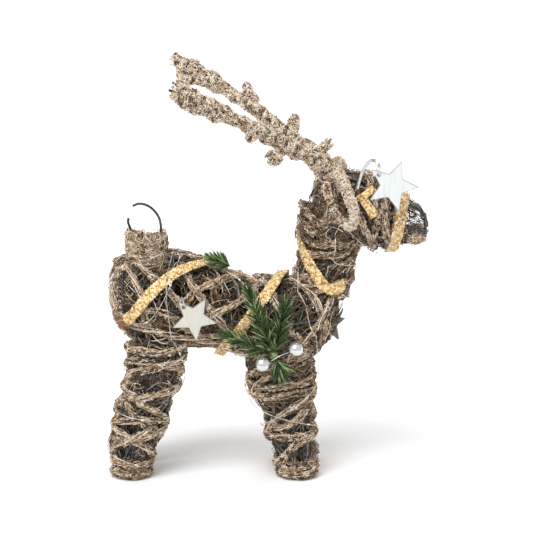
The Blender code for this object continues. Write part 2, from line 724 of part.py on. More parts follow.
def thinned(points, tolerance):
    """The fewest of these points that keep the line within the tolerance."""
    if len(points) < 3:
        return list(points)
    first, last = points[0], points[-1]
    way = (last - first) / max(np.linalg.norm(last - first), 1e-9)
    off = [np.linalg.norm((p - first) - way * np.dot(p - first, way)) for p in points]
    worst = int(np.argmax(off))
    if off[worst] < tolerance:
        return [first, last]
    return thinned(points[:worst + 1], tolerance)[:-1] + thinned(points[worst:], tolerance)


def lamp_wire(name, points):
    """A fine wire that swells into a small lamp at even spacing and near its end."""
    line = evenly(eased(points, 4), 1.0)
    count = len(line)
    half = int(LAMP_L / 2)
    lamps = list(range(count - half - 3, 40, -int(LAMP_SPACING)))[::-1]
    stops, radii = [], []
    start = 0
    for at in lamps + [count - 1]:
        end = at - half if at < count - 1 else at
        run = thinned([line[i] for i in range(start, end + 1)], LINE_TOLERANCE)
        stops += run
        radii += [FINE_WIRE_R] * len(run)
        if at < count - 1:
            stops += [line[at - half + 1], line[at + half - 1]]
            radii += [LAMP_R] * 2
            start = at + half
    tube(name, stops, radii, "silver_wire", LIGHT_SIDES)


def light_wires(torso, head, neck, leg_front, leg_rear):
    """Two fine lamp wires from the case's end cap, laid over the wraps."""
    x1 = CASE["x"][1]
    low, high, head_lift = LIGHT_LIFT, LIGHT_LIFT + 2.2, LIGHT_LIFT + 0.6
    front = [(x1 - 4, -LEAD_Y, LEAD_Z), (x1 + 1.2, -LEAD_Y, LEAD_Z),
             (x1 + 2.9, -LEAD_Y, LEAD_Z - 2), (x1 + 3.1, -8, 112), (x1 + 1.5, -10, 105.5)]
    front += surface_run(leg_front, [(98, 152), (88, 172), (73, 188), (60, 262), (49.5, 350),
                                     (43, 420), (43, 490), (50, 540)], low)
    front += surface_run(leg_front, [(52, 557), (61, 610), (88, 694), (101, 706)], high)
    front += surface_run(torso, [(45, -113), (39, -93), (35, -68), (28, -47)], low)
    front += surface_run(neck, [(194, 214), (199, 180), (202, 120), (199, 60), (195, 10),
                                (198, -40), (203, -76), (216, -81), (229, -86)], low)
    front += surface_run(head, [(68, -100), (76, -116), (86, -132), (96, -155), (104, -190),
                                (113, -235), (121, -290), (127, -340), (129, -370), (127, -405),
                                (119, -455), (110, -500)], head_lift)
    lamp_wire("light_wire_front", front)
    rear = [(x1 - 4, LEAD_Y, LEAD_Z), (x1 + 1.2, LEAD_Y, LEAD_Z), (x1 + 2.9, LEAD_Y, LEAD_Z - 2),
            (x1 + 3.0, 6, 112), (x1 + 1.0, 3, 106)]
    rear += surface_run(torso, [(-18, -172), (-26, -152), (-29, -128), (-27, -104), (-16, -86),
                                (-12, -60), (-22, -32), (-41, -15), (-58, -17), (-72, 4),
                                (-79, -8), (-84, -44), (-94, -77), (-108, -104), (-121, -112),
                                (-134, -122), (-141, -160), (-141, -205), (-133, -245),
                                (-118, -268), (-100, -305), (-87, -345), (-87, -372)], low)
    rear += surface_run(torso, [(-92, -412), (-91, -440)], high)
    rear += surface_run(leg_rear, [(136, -66), (118, -42), (101, -16), (86, 10), (77, 60),
                                   (71, 120), (66, 192), (60, 262), (54, 348), (44, 430),
                                   (30, 520), (20, 610), (14, 655)], low)
    lamp_wire("light_wire_rear", rear)


main()
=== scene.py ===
"""The look of a rope wrapped reindeer with stars, ribbons, pine and fine lamp wire.

Lengths in the tables are millimetres in the model's first frame, whose origin is SHIFT away
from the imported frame's origin. +X points to the nose, -Y is the side with the sprig, +Z is up.
"""

import math

import bpy
import numpy as np
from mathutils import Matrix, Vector


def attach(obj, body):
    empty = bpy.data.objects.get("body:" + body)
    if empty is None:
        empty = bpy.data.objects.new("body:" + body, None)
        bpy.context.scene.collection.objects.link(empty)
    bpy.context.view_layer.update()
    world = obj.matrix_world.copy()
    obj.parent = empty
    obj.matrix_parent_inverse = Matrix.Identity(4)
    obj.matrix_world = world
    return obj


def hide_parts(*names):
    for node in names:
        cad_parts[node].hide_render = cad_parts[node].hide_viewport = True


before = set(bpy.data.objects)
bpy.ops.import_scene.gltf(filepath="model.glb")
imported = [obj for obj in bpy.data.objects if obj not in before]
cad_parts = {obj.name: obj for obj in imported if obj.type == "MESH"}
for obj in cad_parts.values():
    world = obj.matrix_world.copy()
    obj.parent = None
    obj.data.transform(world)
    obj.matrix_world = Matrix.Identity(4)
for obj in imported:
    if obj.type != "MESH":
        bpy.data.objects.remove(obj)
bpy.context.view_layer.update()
DEER = "deer"
MM = 0.001
ABOVE_FLOOR = 0.0003
SHIFT = np.array((1.635, -0.021, 0.0))
SIDES = (("left", 1), ("right", -1))
TURN = 6.28  # a whole turn in radians, near enough for random phases
rng = np.random.default_rng(7)

# Stations of the wrapped bodies, as (along, centre, half size, half width).
TORSO = [(-146, 172, 14, 15), (-138, 170, 31, 28), (-122, 164, 40, 39), (-95, 161, 44, 44),
         (-60, 158, 40, 44), (-20, 148, 38, 43), (15, 146.5, 39.5, 43), (42, 150, 41, 39),
         (60, 156, 32, 31), (68, 161, 21, 21), (72, 164, 11, 12)]
HEAD = [(37, 247, 13, 12), (45, 248, 27, 20), (58, 248, 36, 26), (78, 248, 39, 28),
        (98, 244, 35.5, 27), (118, 237, 28, 24), (130, 235, 24, 20)]
NECK = [(165, 49, 29, 31), (185, 52, 28, 30), (205, 55, 27.5, 28), (225, 59, 29, 27),
        (245, 62, 27, 25)]
TAIL = [(190, -110, 17, 14), (205, -110.5, 18, 14.5), (218, -111, 18.5, 15),
        (227.5, -111.3, 18, 14.5)]
NOSE = [(130, 235, 24, 20), (139, 232.5, 20, 16.5), (145, 230.5, 14, 13), (147.5, 229, 7, 9)]
JAW = [(130.6, 223, 7, 14.5), (136, 223, 7.6, 13.8), (140, 223, 7.2, 12.5),
       (143.3, 223, 6.2, 11)]
REAR_LEG = [(0, -125.5, 17, 15), (12, -125, 19, 16.5), (31, -123, 22.5, 17.5),
            (50, -118, 25.5, 18), (64, -113, 26, 18), (85, -106, 25.5, 18), (112, -102, 28, 18),
            (140, -100, 30, 18)]
FRONT_LEG = [(0, 28, 17, 15), (14, 27, 20, 16.5), (33, 23, 23, 17.5), (55, 20, 24.5, 18),
             (74, 15.5, 29, 18), (91, 12.5, 31.5, 18), (115, 12, 33, 18), (140, 12, 33, 18)]
LEG_Y = 28

BEAM = [(60, 9, 276), (47, 15, 293), (30, 22, 305), (5, 38, 321), (-20, 52, 337),
        (-52, 70, 355), (-84, 86, 371)]
TINES = {"left": [((-8, 45, 329), (-20, 70, 349)), ((22, 27, 309), (26, 46, 324)),
                  ((-52, 70, 355), (-82, 62, 355)), ((46, 15, 293), (57, 20, 306))],
         "right": [((-8, 45, 329), (-16, 70, 325)), ((20, 28, 311), (5, 54, 305)),
                   ((-52, 70, 355), (-82, 60, 373))]}
ANTLER_DROP = {"left": -1.5, "right": -2.5}
BEAM_COAT = {"left": [10.0, 8.6, 7.0, 7.0, 6.2, 6.6, 5.6, 6.4, 8.6, 9.0, 6.0],
             "right": [10.5, 9.0, 7.4, 9.0, 7.0, 8.0, 5.6, 7.6, 10.0, 9.4, 4.6]}
BLOBS = {"left": [(-85, 87, 371, 6.2)], "right": [(6, 53, 305, 8.2), (-55, 74, 356, 7)]}
FAR_TIP_LINK = [(-82, 86, 369), (-82, 78, 361), (-79, 68, 355)]
EAR = [(67, 20.5, 269), (64.5, 28.5, 285), (67, 35.5, 283), (72, 39, 271), (77, 40, 258),
       (79, 39, 246), (75, 38, 238), (68, 39.5, 243), (61, 40, 254), (55.5, 38.5, 267),
       (53, 32, 275), (54, 20, 268)]
EAR_TIP = 6
EAR_MIDDLE = np.array((67, 39, 259))

RIBBON_W = 11.0
RUMP_RIBBON = [(-137, -138), (-126, -108), (-108, -74), (-86, -45), (-62, -16), (-46, 14),
               (-40, 50), (-44, 80)]
SHOULDER_RIBBON = [(-44, -146), (-36, -125), (-23, -95), (-5, -56), (6, -28), (14, 4), (15, 40),
                   (12, 75)]
NECK_RIBBON = [(222, 110), (228, 150), (225, 180), (211, 216), (195, 247), (181, 272),
               (178, 292), (182, 312)]
MUZZLE_RIBBON = [(123, 60), (126, 20), (125.5, -20), (123, -62), (119.5, -100), (115.5, -140),
                 (112, -172)]
CHEEK_RIBBON = [(85, -62), (89, -71), (94, -80), (98, -88)]
CHEEK_TAIL = [(97, -47), (93, -55), (87, -66)]

SPRIG_BASE = (6, -55, 122)
SPRIG_TIPS = [(-19, -61, 188), (18, -61, 178), (-42, -58, 144), (16, -58, 102)]
BACK_TIP = [(-34, -12, 196), (-57, -10, 206)]

# Strands of twine laid over the bodies, as (along, angle in degrees) on each body.
TORSO_STRANDS = [
    [(-126, 40), (-131, 12), (-114, -34), (-98, -54), (-87, -68), (-75, -86), (-62, -110)],
    [(-112, 14), (-128, -26), (-136, -46), (-141, -84), (-139, -116), (-130, -118),
     (-118, -122)],
    [(-126, -30), (-123, -42), (-116, -70), (-112, -92), (-110, -115)],
    [(-80, -20), (-72, -42), (-64, -60), (-53, -78), (-42, -96), (-34, -118)],
    [(-76, -78), (-64, -58), (-47, -38), (-36, -18), (-23, -4), (-14, -12), (-8, -30)],
    [(-66, -116), (-57, -100), (-50, -88), (-36, -72), (-24, -56), (-16, -42), (-9, -26),
     (0, -4)],
    [(-112, 16), (-93, 2), (-73, 12), (-60, 4), (-39, -4), (-26, 6)],
    [(-126, -120), (-101, -122), (-84, -127), (-61, -136), (-32, -134), (-8, -128)],
    [(-10, -4), (-2, -26), (8, -58), (17, -88), (31, -114), (38, -140)],
    [(22, -10), (31, -34), (45, -64), (54, -104), (50, -140)],
    [(60, -40), (58, -68), (47, -98), (31, -122), (8, -136), (-14, -140)],
]
BELLY_STRANDS = [
    [(-122, -96), (-104, -92), (-88, -96), (-70, -118), (-40, -122), (-12, -112), (14, -104)],
    [(-90, -140), (-62, -151), (-30, -153), (0, -148)],
    [(-134, -100), (-139, -128), (-137, -150), (-128, -165)],
]
TORSO_LEFT_TURNS = [
    [(-140, 0), (-128, 50), (-108, 90), (-84, 130), (-60, 170)],
    [(-140, 60), (-132, 100), (-112, 140), (-96, 178)],
    [(-60, -160), (-84, 150), (-104, 100), (-92, 50), (-80, 10)],
    [(-80, 10), (-62, 50), (-44, 90), (-22, 130), (0, 170)],
    [(-24, 6), (-40, 50), (-60, 90), (-78, 130), (-92, 175)],
    [(-12, 0), (8, 40), (22, 80), (36, 120), (44, 160)],
    [(52, 10), (36, 50), (14, 85), (-10, 125), (-36, 170)],
    [(56, 60), (60, 110), (52, 150), (40, 190)],
]
TORSO_LONG_STRANDS = [
    [(-120, 172), (-70, 178), (-20, 172), (30, 180)],
    [(-134, 20), (-100, 60), (-60, 66), (-20, 56), (30, 62), (56, 40)],
    [(-134, 120), (-100, 116), (-60, 110), (-20, 104), (20, 112), (52, 100)],
]
PROUD_STRANDS = [
    [(-44, -136), (-30, -139), (-16, -138), (-2, -134)],
    [(-100, 4), (-82, 10), (-64, 3), (-48, 10)],
]
REAR_STRANDS = [
    [(104, 200), (110, 178), (112, -110), (105, -20), (98, 30)],
    [(90, 210), (95, 192), (107, -100), (114, -26), (118, 30)],
    [(96, 220), (88, 184), (76, -112), (63, -52), (54, -16), (48, 30)],
    [(70, 210), (73, 182), (78, -138), (81, -90), (85, -26), (90, 20)],
    [(80, 205), (70, -132), (54, -78), (44, -30), (38, 20)],
    [(58, 215), (50, 186), (41, -102), (28, -42), (20, -10), (14, 30)],
    [(54, 212), (55, 194), (58, -98), (55, -24), (50, 20)],
    [(33, 200), (36, -160), (40, -100), (43, -62), (46, -20), (48, 20)],
    [(24, 205), (30, 186), (36, -124), (41, -92), (50, -50)],
    [(16, 215), (20, 190), (15, -104), (13, -30), (15, 30)],
    [(124, 205), (124, 178), (122, -104), (124, -38), (128, 10)],
]
FRONT_STRANDS = [
    [(88, 205), (95, 182), (104, -124), (116, -80), (122, -40)],
    [(76, 205), (85, -146), (99, -110), (110, -70), (116, -30)],
    [(84, 210), (81, 184), (79, -118), (83, -72), (83, -20), (80, 20)],
    [(88, 20), (80, -20), (68, -80), (49, -146), (42, -180), (38, -210)],
    [(84, 10), (74, -28), (63, -56), (54, -90), (50, -130)],
    [(42, 205), (40, 182), (41, -106), (44, -22), (46, 20)],
    [(52, 30), (44, 2), (35, -74), (19, -136), (14, -180), (12, -215)],
    [(14, 215), (18, -156), (9, -106), (11, -30), (14, 20)],
    [(92, 205), (89, -162), (90, -94), (93, -22), (96, 20)],
]
HEAD_STRANDS = [
    [(62, 30), (66, -10), (77, -66), (86, -100), (94, -134), (98, -170)],
    [(105, 30), (106, 0), (107, -62), (110, -132), (112, -175)],
    [(97, -170), (97, -128), (100, -82), (95, -30), (92, 20)],
    [(126, 30), (124, 0), (120, -70), (117, -138), (116, -175)],
]
LEGS = (("rear", REAR_LEG, REAR_STRANDS), ("front", FRONT_LEG, FRONT_STRANDS))


# --- curves and bodies ---------------------------------------------------------------------

def eased(stations, per_span=8):
    """Points of a Catmull-Rom curve through the stations, in any number of dimensions."""
    p = np.array(stations, float)
    p = np.vstack([2 * p[0] - p[1], p, 2 * p[-1] - p[-2]])
    out = []
    for i in range(1, len(p) - 2):
        for k in range(per_span):
            t = k / per_span
            out.append(0.5 * (2 * p[i] + (p[i + 1] - p[i - 1]) * t
                              + (2 * p[i - 1] - 5 * p[i] + 4 * p[i + 1] - p[i + 2]) * t ** 2
                              + (3 * p[i] - p[i - 1] - 3 * p[i + 1] + p[i + 2]) * t ** 3))
    out.append(p[-2])
    return np.array(out)


def run_of(points):
    return np.concatenate([[0], np.cumsum(np.linalg.norm(np.diff(points, axis=0), axis=1))])


def read(rows, run, s):
    """The rows, one for each place in run, read at the places s."""
    return np.stack([np.interp(s, run, column) for column in rows.T], axis=-1)


def evenly(points, step):
    """The same curve with its points about one step apart."""
    points = np.asarray(points, float)
    run = run_of(points)
    count = max(3, int(round(run[-1] / step)) + 1)
    return read(points, run, np.linspace(0, run[-1], count))


def unit(v):
    return v / np.maximum(np.linalg.norm(v, axis=-1, keepdims=True), 1e-9)


def sideways(line, normals):
    """The line's directions, and those at right angles to them and to the normals."""
    tangent = unit(np.gradient(line, axis=0))
    return tangent, unit(np.cross(tangent, normals))


class Body:
    """A rounded body with elliptical sections. Its stations run along X, or along Z if upright."""

    def __init__(self, stations, upright=False, y=0.0):
        self.upright = upright
        self.y = y
        self.dense = eased(stations)
        self.low = self.dense[0, 0]
        self.high = self.dense[-1, 0]

    def point(self, along, angle, lift=0.0):
        along, angle = np.broadcast_arrays(np.asarray(along, float), np.radians(angle))
        centre, half, width = (np.interp(along, self.dense[:, 0], self.dense[:, k])
                               for k in (1, 2, 3))
        c = np.cos(angle) * (half + lift)
        s = np.sin(angle) * (width + lift)
        if self.upright:
            return np.stack([centre + c, self.y + s, along], axis=-1)
        return np.stack([along, self.y + s, centre + c], axis=-1)

    def normal(self, along, angle):
        along = np.clip(along, self.low + 1, self.high - 1)
        out = self.point(along, angle, 1.0) - self.point(along, angle)
        slope = unit(self.point(along + 1, angle) - self.point(along - 1, angle))
        out -= slope * np.sum(out * slope, axis=-1, keepdims=True)
        return unit(out)


# --- meshes --------------------------------------------------------------------------------

def linked(name, data):
    made = bpy.data.objects.new(name, data)
    bpy.context.collection.objects.link(made)
    return made


def skin(n, k, sides):
    """The quads between the k rings of n tubes, as vertex numbers."""
    base = np.arange(n)[:, None, None] * k * sides + np.arange(k - 1)[None, :, None] * sides
    a = np.arange(sides)[None, None]
    b = (a + 1) % sides
    return np.stack([base + a, base + b, base + sides + b, base + sides + a],
                    axis=-1).reshape(-1, 4)


class Soup:
    """Vertices, faces and material numbers that grow into one mesh."""

    def __init__(self):
        self.empty()

    def empty(self):
        self.verts, self.faces, self.slots, self.count = [], [], [], 0

    def add(self, verts, faces, slot):
        """Verts (N, 3), faces (M, 4) with the last index -1 in a triangle, slot a number or (M,)."""
        self.verts.append(np.asarray(verts, float).reshape(-1, 3))
        faces = np.asarray(faces, int)
        self.faces.append(np.where(faces < 0, -1, faces + self.count))
        self.slots.append(np.broadcast_to(slot, (len(faces),)))
        self.count += len(self.verts[-1])

    def tubes(self, lines, radii, sides=3, slot=0, turn=None):
        """Closed tubes along lines (N, K, 3) with radii (N, K), each with a slot."""
        lines = np.asarray(lines, float)
        n, k, _ = lines.shape
        radii = np.broadcast_to(radii, (n, k))
        tangent = unit(np.gradient(lines, axis=1))
        chord = unit(lines[:, -1] - lines[:, 0] + 1e-6)[:, None]
        other = np.where(np.abs(chord[..., 2:]) > 0.7, [[[1.0, 0.2, 0]]], [[[0.1, 0.2, 1.0]]])
        side = unit(np.cross(tangent, other))
        up = np.cross(tangent, side)
        spin = rng.uniform(0, TURN, n) if turn is None else np.full(n, turn)
        q = spin[:, None] + np.arange(sides) * 2 * np.pi / sides
        ring = (side[:, :, None] * np.cos(q)[:, None, :, None]
                + up[:, :, None] * np.sin(q)[:, None, :, None])
        verts = lines[:, :, None] + ring * radii[:, :, None, None]
        slots = np.broadcast_to(slot, (n,))
        first = np.arange(n) * k * sides
        last = first + (k - 1) * sides
        none = np.full(n, -1)
        caps = []
        for j in range(1, sides - 1):
            caps.append(np.stack([first, first + j + 1, first + j, none], 1))
            caps.append(np.stack([last, last + j, last + j + 1, none], 1))
        self.add(verts, np.concatenate([skin(n, k, sides), *caps]),
                 np.concatenate([np.repeat(slots, (k - 1) * sides), np.tile(slots, len(caps))]))

    def build(self, name, materials, slot, *replaced):
        """One piece that rides on the deer, in place of the CAD nodes named; empties the soup."""
        verts = (np.concatenate(self.verts) + SHIFT) * MM
        verts[:, 2] = np.maximum(verts[:, 2], ABOVE_FLOOR)
        faces = np.concatenate(self.faces)
        slots = np.concatenate(self.slots)
        tri = faces[:, 3] < 0
        sizes = np.where(tri, 3, 4)
        loops = faces.reshape(-1)
        loops = loops[loops >= 0]
        starts = np.concatenate([[0], np.cumsum(sizes)[:-1]])
        mesh = bpy.data.meshes.new(name)
        mesh.vertices.add(len(verts))
        mesh.loops.add(len(loops))
        mesh.polygons.add(len(faces))
        mesh.vertices.foreach_set("co", verts.astype(np.float32).reshape(-1))
        mesh.loops.foreach_set("vertex_index", loops.astype(np.int32))
        mesh.polygons.foreach_set("loop_start", starts.astype(np.int32))
        mesh.polygons.foreach_set("material_index", slots.astype(np.int32))
        mesh.update(calc_edges=True)
        mesh.validate()
        mesh.shade_smooth()
        for mat in materials:
            mesh.materials.append(mat)
        made = linked(name, mesh)
        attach(made, DEER)
        if replaced:
            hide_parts(*replaced)
        self.empty()

    def rope(self, name, *replaced):
        self.build(name, ROPE_LOOK, "rope", *replaced)


# --- materials -----------------------------------------------------------------------------

def shader(name, roughness=0.8, metallic=0.0, **sockets):
    made = bpy.data.materials.new(name)
    made.use_nodes = True
    bsdf = made.node_tree.nodes["Principled BSDF"]
    bsdf.inputs["Roughness"].default_value = roughness
    bsdf.inputs["Metallic"].default_value = metallic
    for key, value in sockets.items():
        bsdf.inputs[key.replace("_", " ")].default_value = value
    return made, made.node_tree, bsdf


def noise(tree, scale, detail=3.0, stretch=(1, 1, 1), seed=0.0):
    coords = tree.nodes.new("ShaderNodeTexCoord")
    place = tree.nodes.new("ShaderNodeMapping")
    place.inputs["Scale"].default_value = stretch
    place.inputs["Location"].default_value = (seed, seed * 0.7, seed * 1.3)
    node = tree.nodes.new("ShaderNodeTexNoise")
    node.inputs["Scale"].default_value = scale
    node.inputs["Detail"].default_value = detail
    tree.links.new(coords.outputs["Object"], place.inputs["Vector"])
    tree.links.new(place.outputs["Vector"], node.inputs["Vector"])
    return node.outputs["Fac"]


def ramp(tree, value, stops):
    node = tree.nodes.new("ShaderNodeValToRGB")
    while len(node.color_ramp.elements) < len(stops):
        node.color_ramp.elements.new(0.5)
    for element, (at, colour) in zip(node.color_ramp.elements, stops):
        element.position = at
        element.color = (*colour, 1)
    tree.links.new(value, node.inputs["Fac"])
    return node.outputs["Color"]


def bump(tree, bsdf, value, strength, distance):
    node = tree.nodes.new("ShaderNodeBump")
    node.inputs["Strength"].default_value = strength
    node.inputs["Distance"].default_value = distance
    tree.links.new(value, node.inputs["Height"])
    tree.links.new(node.outputs["Normal"], bsdf.inputs["Normal"])


def mottled(name, stops, scale, roughness=0.8, metallic=0.0, bumps=None, seed=0.0, **sockets):
    """A material whose colour runs over the stops by a noise of the given scale."""
    made, tree, bsdf = shader(name, roughness, metallic, **sockets)
    value = noise(tree, scale, seed=seed)
    tree.links.new(ramp(tree, value, stops), bsdf.inputs["Base Color"])
    if bumps:
        bump(tree, bsdf, noise(tree, bumps[0], 2.0, seed=seed + 3), bumps[1], bumps[2])
    return made


def two_tone(name, low, high, *rest, **sockets):
    return mottled(name, [(0.3, low), (0.7, high)], *rest, **sockets)


def fibre(name, dark, middle, light, seed):
    return mottled(name, [(0.30, dark), (0.48, middle), (0.68, light)], 330, 0.82,
                   bumps=(2500, 0.4, 0.0002), seed=seed, Specular_IOR_Level=0.35,
                   Sheen_Weight=0.15)


FIBRES = [
    fibre("fibre_light", (0.28, 0.17, 0.09), (0.63, 0.44, 0.27), (0.86, 0.67, 0.46), 1.0),
    fibre("fibre_middle", (0.10, 0.06, 0.03), (0.30, 0.19, 0.11), (0.54, 0.37, 0.23), 2.0),
    fibre("fibre_dark", (0.020, 0.012, 0.006), (0.060, 0.038, 0.020), (0.14, 0.090, 0.052), 3.0),
    fibre("fibre_pale", (0.70, 0.55, 0.40), (0.92, 0.79, 0.63), (0.97, 0.91, 0.81), 4.0),
    fibre("fibre_shade", (0.100, 0.098, 0.088), (0.195, 0.190, 0.170), (0.32, 0.31, 0.28), 5.0),
]
GLINTS = [
    two_tone("glitter_gold", (0.95, 0.68, 0.34), (1.0, 0.84, 0.56), 900, 0.22, 1.0),
    two_tone("glitter_copper", (0.80, 0.42, 0.22), (0.95, 0.62, 0.40), 900, 0.24, 1.0),
    two_tone("glitter_silver", (0.86, 0.84, 0.80), (0.98, 0.96, 0.93), 900, 0.18, 1.0),
]
ROPE_LOOK = FIBRES + GLINTS
LIGHT, MIDDLE, DARK, PALE, SHADE, GOLD, COPPER, SILVER = range(8)

STEEL = mottled("steel_dark", [(0.35, (0.035, 0.036, 0.04)), (0.6, (0.10, 0.10, 0.105)),
                               (0.8, (0.20, 0.18, 0.16))], 260, 0.42, 0.85,
                bumps=(1400, 0.25, 0.0002))


# --- twine ---------------------------------------------------------------------------------

def smooth_wander(n, k, size, waves=2.5):
    """Random smooth offsets (n, k, 3) with the given size."""
    t = np.linspace(0, 1, k)
    out = np.zeros((n, k, 3))
    for _ in range(3):
        f = rng.uniform(0.4, waves, (n, 1, 3))
        p = rng.uniform(0, TURN, (n, 1, 3))
        out += np.sin(TURN * f * t[None, :, None] + p)
    return out * size / 3


DEGREE = 0.5  # the length that a degree counts for where a route is cut into steps, in mm
LINE_STEP = 2.5


def laid_line(body, route, depth, wobble=0.8):
    """A centre line over a body with its outward directions."""
    stops = evenly(eased(fix_turns(route)), 0.6)
    line = evenly(stops * (1, DEGREE), LINE_STEP)
    along, angle = line[:, 0], line[:, 1] / DEGREE
    t = np.arange(len(along))
    p = rng.uniform(0, TURN, 4)
    lift = -depth + wobble * 0.5 * (np.sin(t * 0.21 + p[0]) + 0.6 * np.sin(t * 0.53 + p[1]))
    along = along + wobble * (np.sin(t * 0.17 + p[2]) + 0.5 * np.sin(t * 0.41 + p[3]))
    points = body.point(along, angle, lift)
    return points, body.normal(along, angle)


def fix_turns(route):
    """Let the angle run on without jumps of a whole turn."""
    out = [list(route[0])]
    for along, angle in route[1:]:
        before = out[-1][1]
        while angle - before > 180:
            angle -= 360
        while angle - before < -180:
            angle += 360
        out.append([along, angle])
    return out


FIBRE_POINTS = 13
HAIRS_PER_MM = 0.12
FUR_THICK = 0.42


def twine(soup, points, normals, radius=3.3, strands=14, length=40, flat=0.8, twist=0.07,
          tones=(0.32, 0.20, 0.20, 0.28), thick=0.48, fuzz=7.0, spread=0.7, glitter=2.2):
    """One run of loose twine: a core of long fibres under a fur of short crinkled ones."""
    run = run_of(points)
    total = run[-1]
    tangent, across = sideways(points, normals)
    out = np.cross(across, tangent)

    def around(s, phi, rho):
        swell = 1 + 0.13 * np.sin(s * 0.19 + 1.3) + 0.10 * np.sin(s * 0.47)
        return (read(points, run, s)
                + read(across, run, s) * (np.cos(phi) * rho * swell)[..., None]
                + read(out, run, s) * (np.sin(phi) * rho * swell * flat)[..., None])

    count = max(strands, int(total * strands / length))
    k = FIBRE_POINTS
    start = rng.uniform(-0.6 * length, total - 0.4 * length, count)
    s = start[:, None] + np.linspace(0, 1, k)[None] * length * rng.uniform(0.7, 1.2, (count, 1))
    s = np.clip(s, 0, total) + np.linspace(0, 0.01, k)[None]
    rho = radius * np.sqrt(rng.uniform(0.10, 0.9, (count, 1)))
    lines = around(s, rng.uniform(0, TURN, (count, 1)) + twist * s, rho)
    lines += smooth_wander(count, k, 0.5)
    taper = np.sin(np.linspace(0.12, math.pi - 0.12, k)) ** 0.5
    slots = rng.choice([LIGHT, MIDDLE, DARK, PALE], count, p=tones)
    soup.tubes(lines, thick * rng.uniform(0.6, 1.25, (count, 1)) * taper[None], 3, slots)
    hairs(soup, lines, slots, int(total * HAIRS_PER_MM))

    count = int(total * fuzz)
    s = rng.uniform(0, total, count)
    base = around(s, rng.uniform(0, TURN, count), radius * rng.uniform(0.7, 1.08, count))
    way = (read(tangent, run, s) * rng.choice([-1, 1], (count, 1))
           + rng.normal(size=(count, 3)) * spread)
    fur(soup, base, flattened(way, base - read(points, run, s)),
        rng.uniform(1.6, 4.2, (count, 1)), tones, FUR_THICK)
    flakes(soup, base[:, None], int(total * glitter))


STAND = 0.15  # the part of a heading's rise that is left


def flattened(way, out):
    """Headings turned down almost flat onto the surface that faces outwards."""
    out = unit(out)
    return unit(way - out * np.sum(way * out, axis=1, keepdims=True) * (1 - STAND))


def in_patches(places, tones):
    """A tone for every place, with dark and pale ones gathered a few millimetres apart."""
    value = rng.normal(size=len(places)) * 0.8
    for _ in range(5):
        value += 0.7 * np.sin(places @ (unit(rng.normal(size=3)) * rng.uniform(0.5, 1.3))
                              + rng.uniform(0, TURN))
    rank = (np.argsort(np.argsort(value)) + 0.5) / len(places)
    by_depth = np.array([DARK, MIDDLE, LIGHT, PALE])
    light, middle, dark = tones[:3]
    return by_depth[np.searchsorted(np.cumsum([dark, middle, light]), rank)]


def fur(soup, base, way, size, tones, thick):
    """Short crinkled fibres at the given places and headings."""
    count, k = len(base), 4
    t = np.linspace(-0.5, 0.5, k)
    lines = base[:, None] + way[:, None] * (size[:, None] * t[None, :, None])
    lines += smooth_wander(count, k, 0.8, 1.4)
    radii = thick * rng.uniform(0.55, 1.35, (count, 1)) * np.array([[0.5, 1, 1, 0.5]])
    soup.tubes(lines, radii, 3, in_patches(base, tones))


def hairs(soup, lines, slots, count):
    """Stray hairs that leave the fibres at a low angle."""
    if count < 1:
        return
    n, k, _ = lines.shape
    pick = rng.integers(0, n, count)
    place = rng.integers(2, k - 2, count)
    start = lines[pick, place]
    way = unit(lines[pick, place + 1] - lines[pick, place - 1])
    away = unit(rng.normal(size=(count, 3)))
    length = rng.uniform(4, 13, (count, 1))
    t = np.linspace(0, 1, 5)
    curve = (start[:, None] + way[:, None] * (length[:, None] * t[None, :, None])
             + away[:, None] * (length[:, None] * 0.42 * (t ** 1.5)[None, :, None]))
    radii = 0.15 * rng.uniform(0.7, 1.3, (count, 1)) * (1 - 0.6 * t)[None]
    soup.tubes(curve, radii, 3, slots[pick])


def flakes(soup, lines, count):
    """Flat glitter flakes that lie on the fibres."""
    if count < 1:
        return
    n, k, _ = lines.shape
    centre = lines[rng.integers(0, n, count), rng.integers(0, k, count)]
    centre = centre + rng.normal(size=(count, 3)) * 0.4
    u = unit(rng.normal(size=(count, 3)))
    v = unit(np.cross(u, rng.normal(size=(count, 3))))
    w = np.cross(u, v) * 0.05
    size = rng.uniform(0.32, 0.78, (count, 1))
    corners = [centre + u * size, centre + v * size * 0.8, centre - u * size,
               centre - v * size * 0.8]
    verts = np.stack([c + w for c in corners] + [c - w for c in corners], axis=1)
    base = np.arange(count)[:, None] * 8
    quads = [(0, 1, 2, 3), (7, 6, 5, 4)] + [(i, i + 4, (i + 1) % 4 + 4, (i + 1) % 4)
                                            for i in range(4)]
    faces = (base[:, None] + np.array(quads)[None]).reshape(-1, 4)
    slots = np.repeat(rng.choice([GOLD, COPPER, SILVER], count, p=(0.35, 0.25, 0.4)), 6)
    soup.add(verts, faces, slots)


MEAN_RADIUS = 30.0  # of the wrapped bodies, where a fibre's length becomes an angle


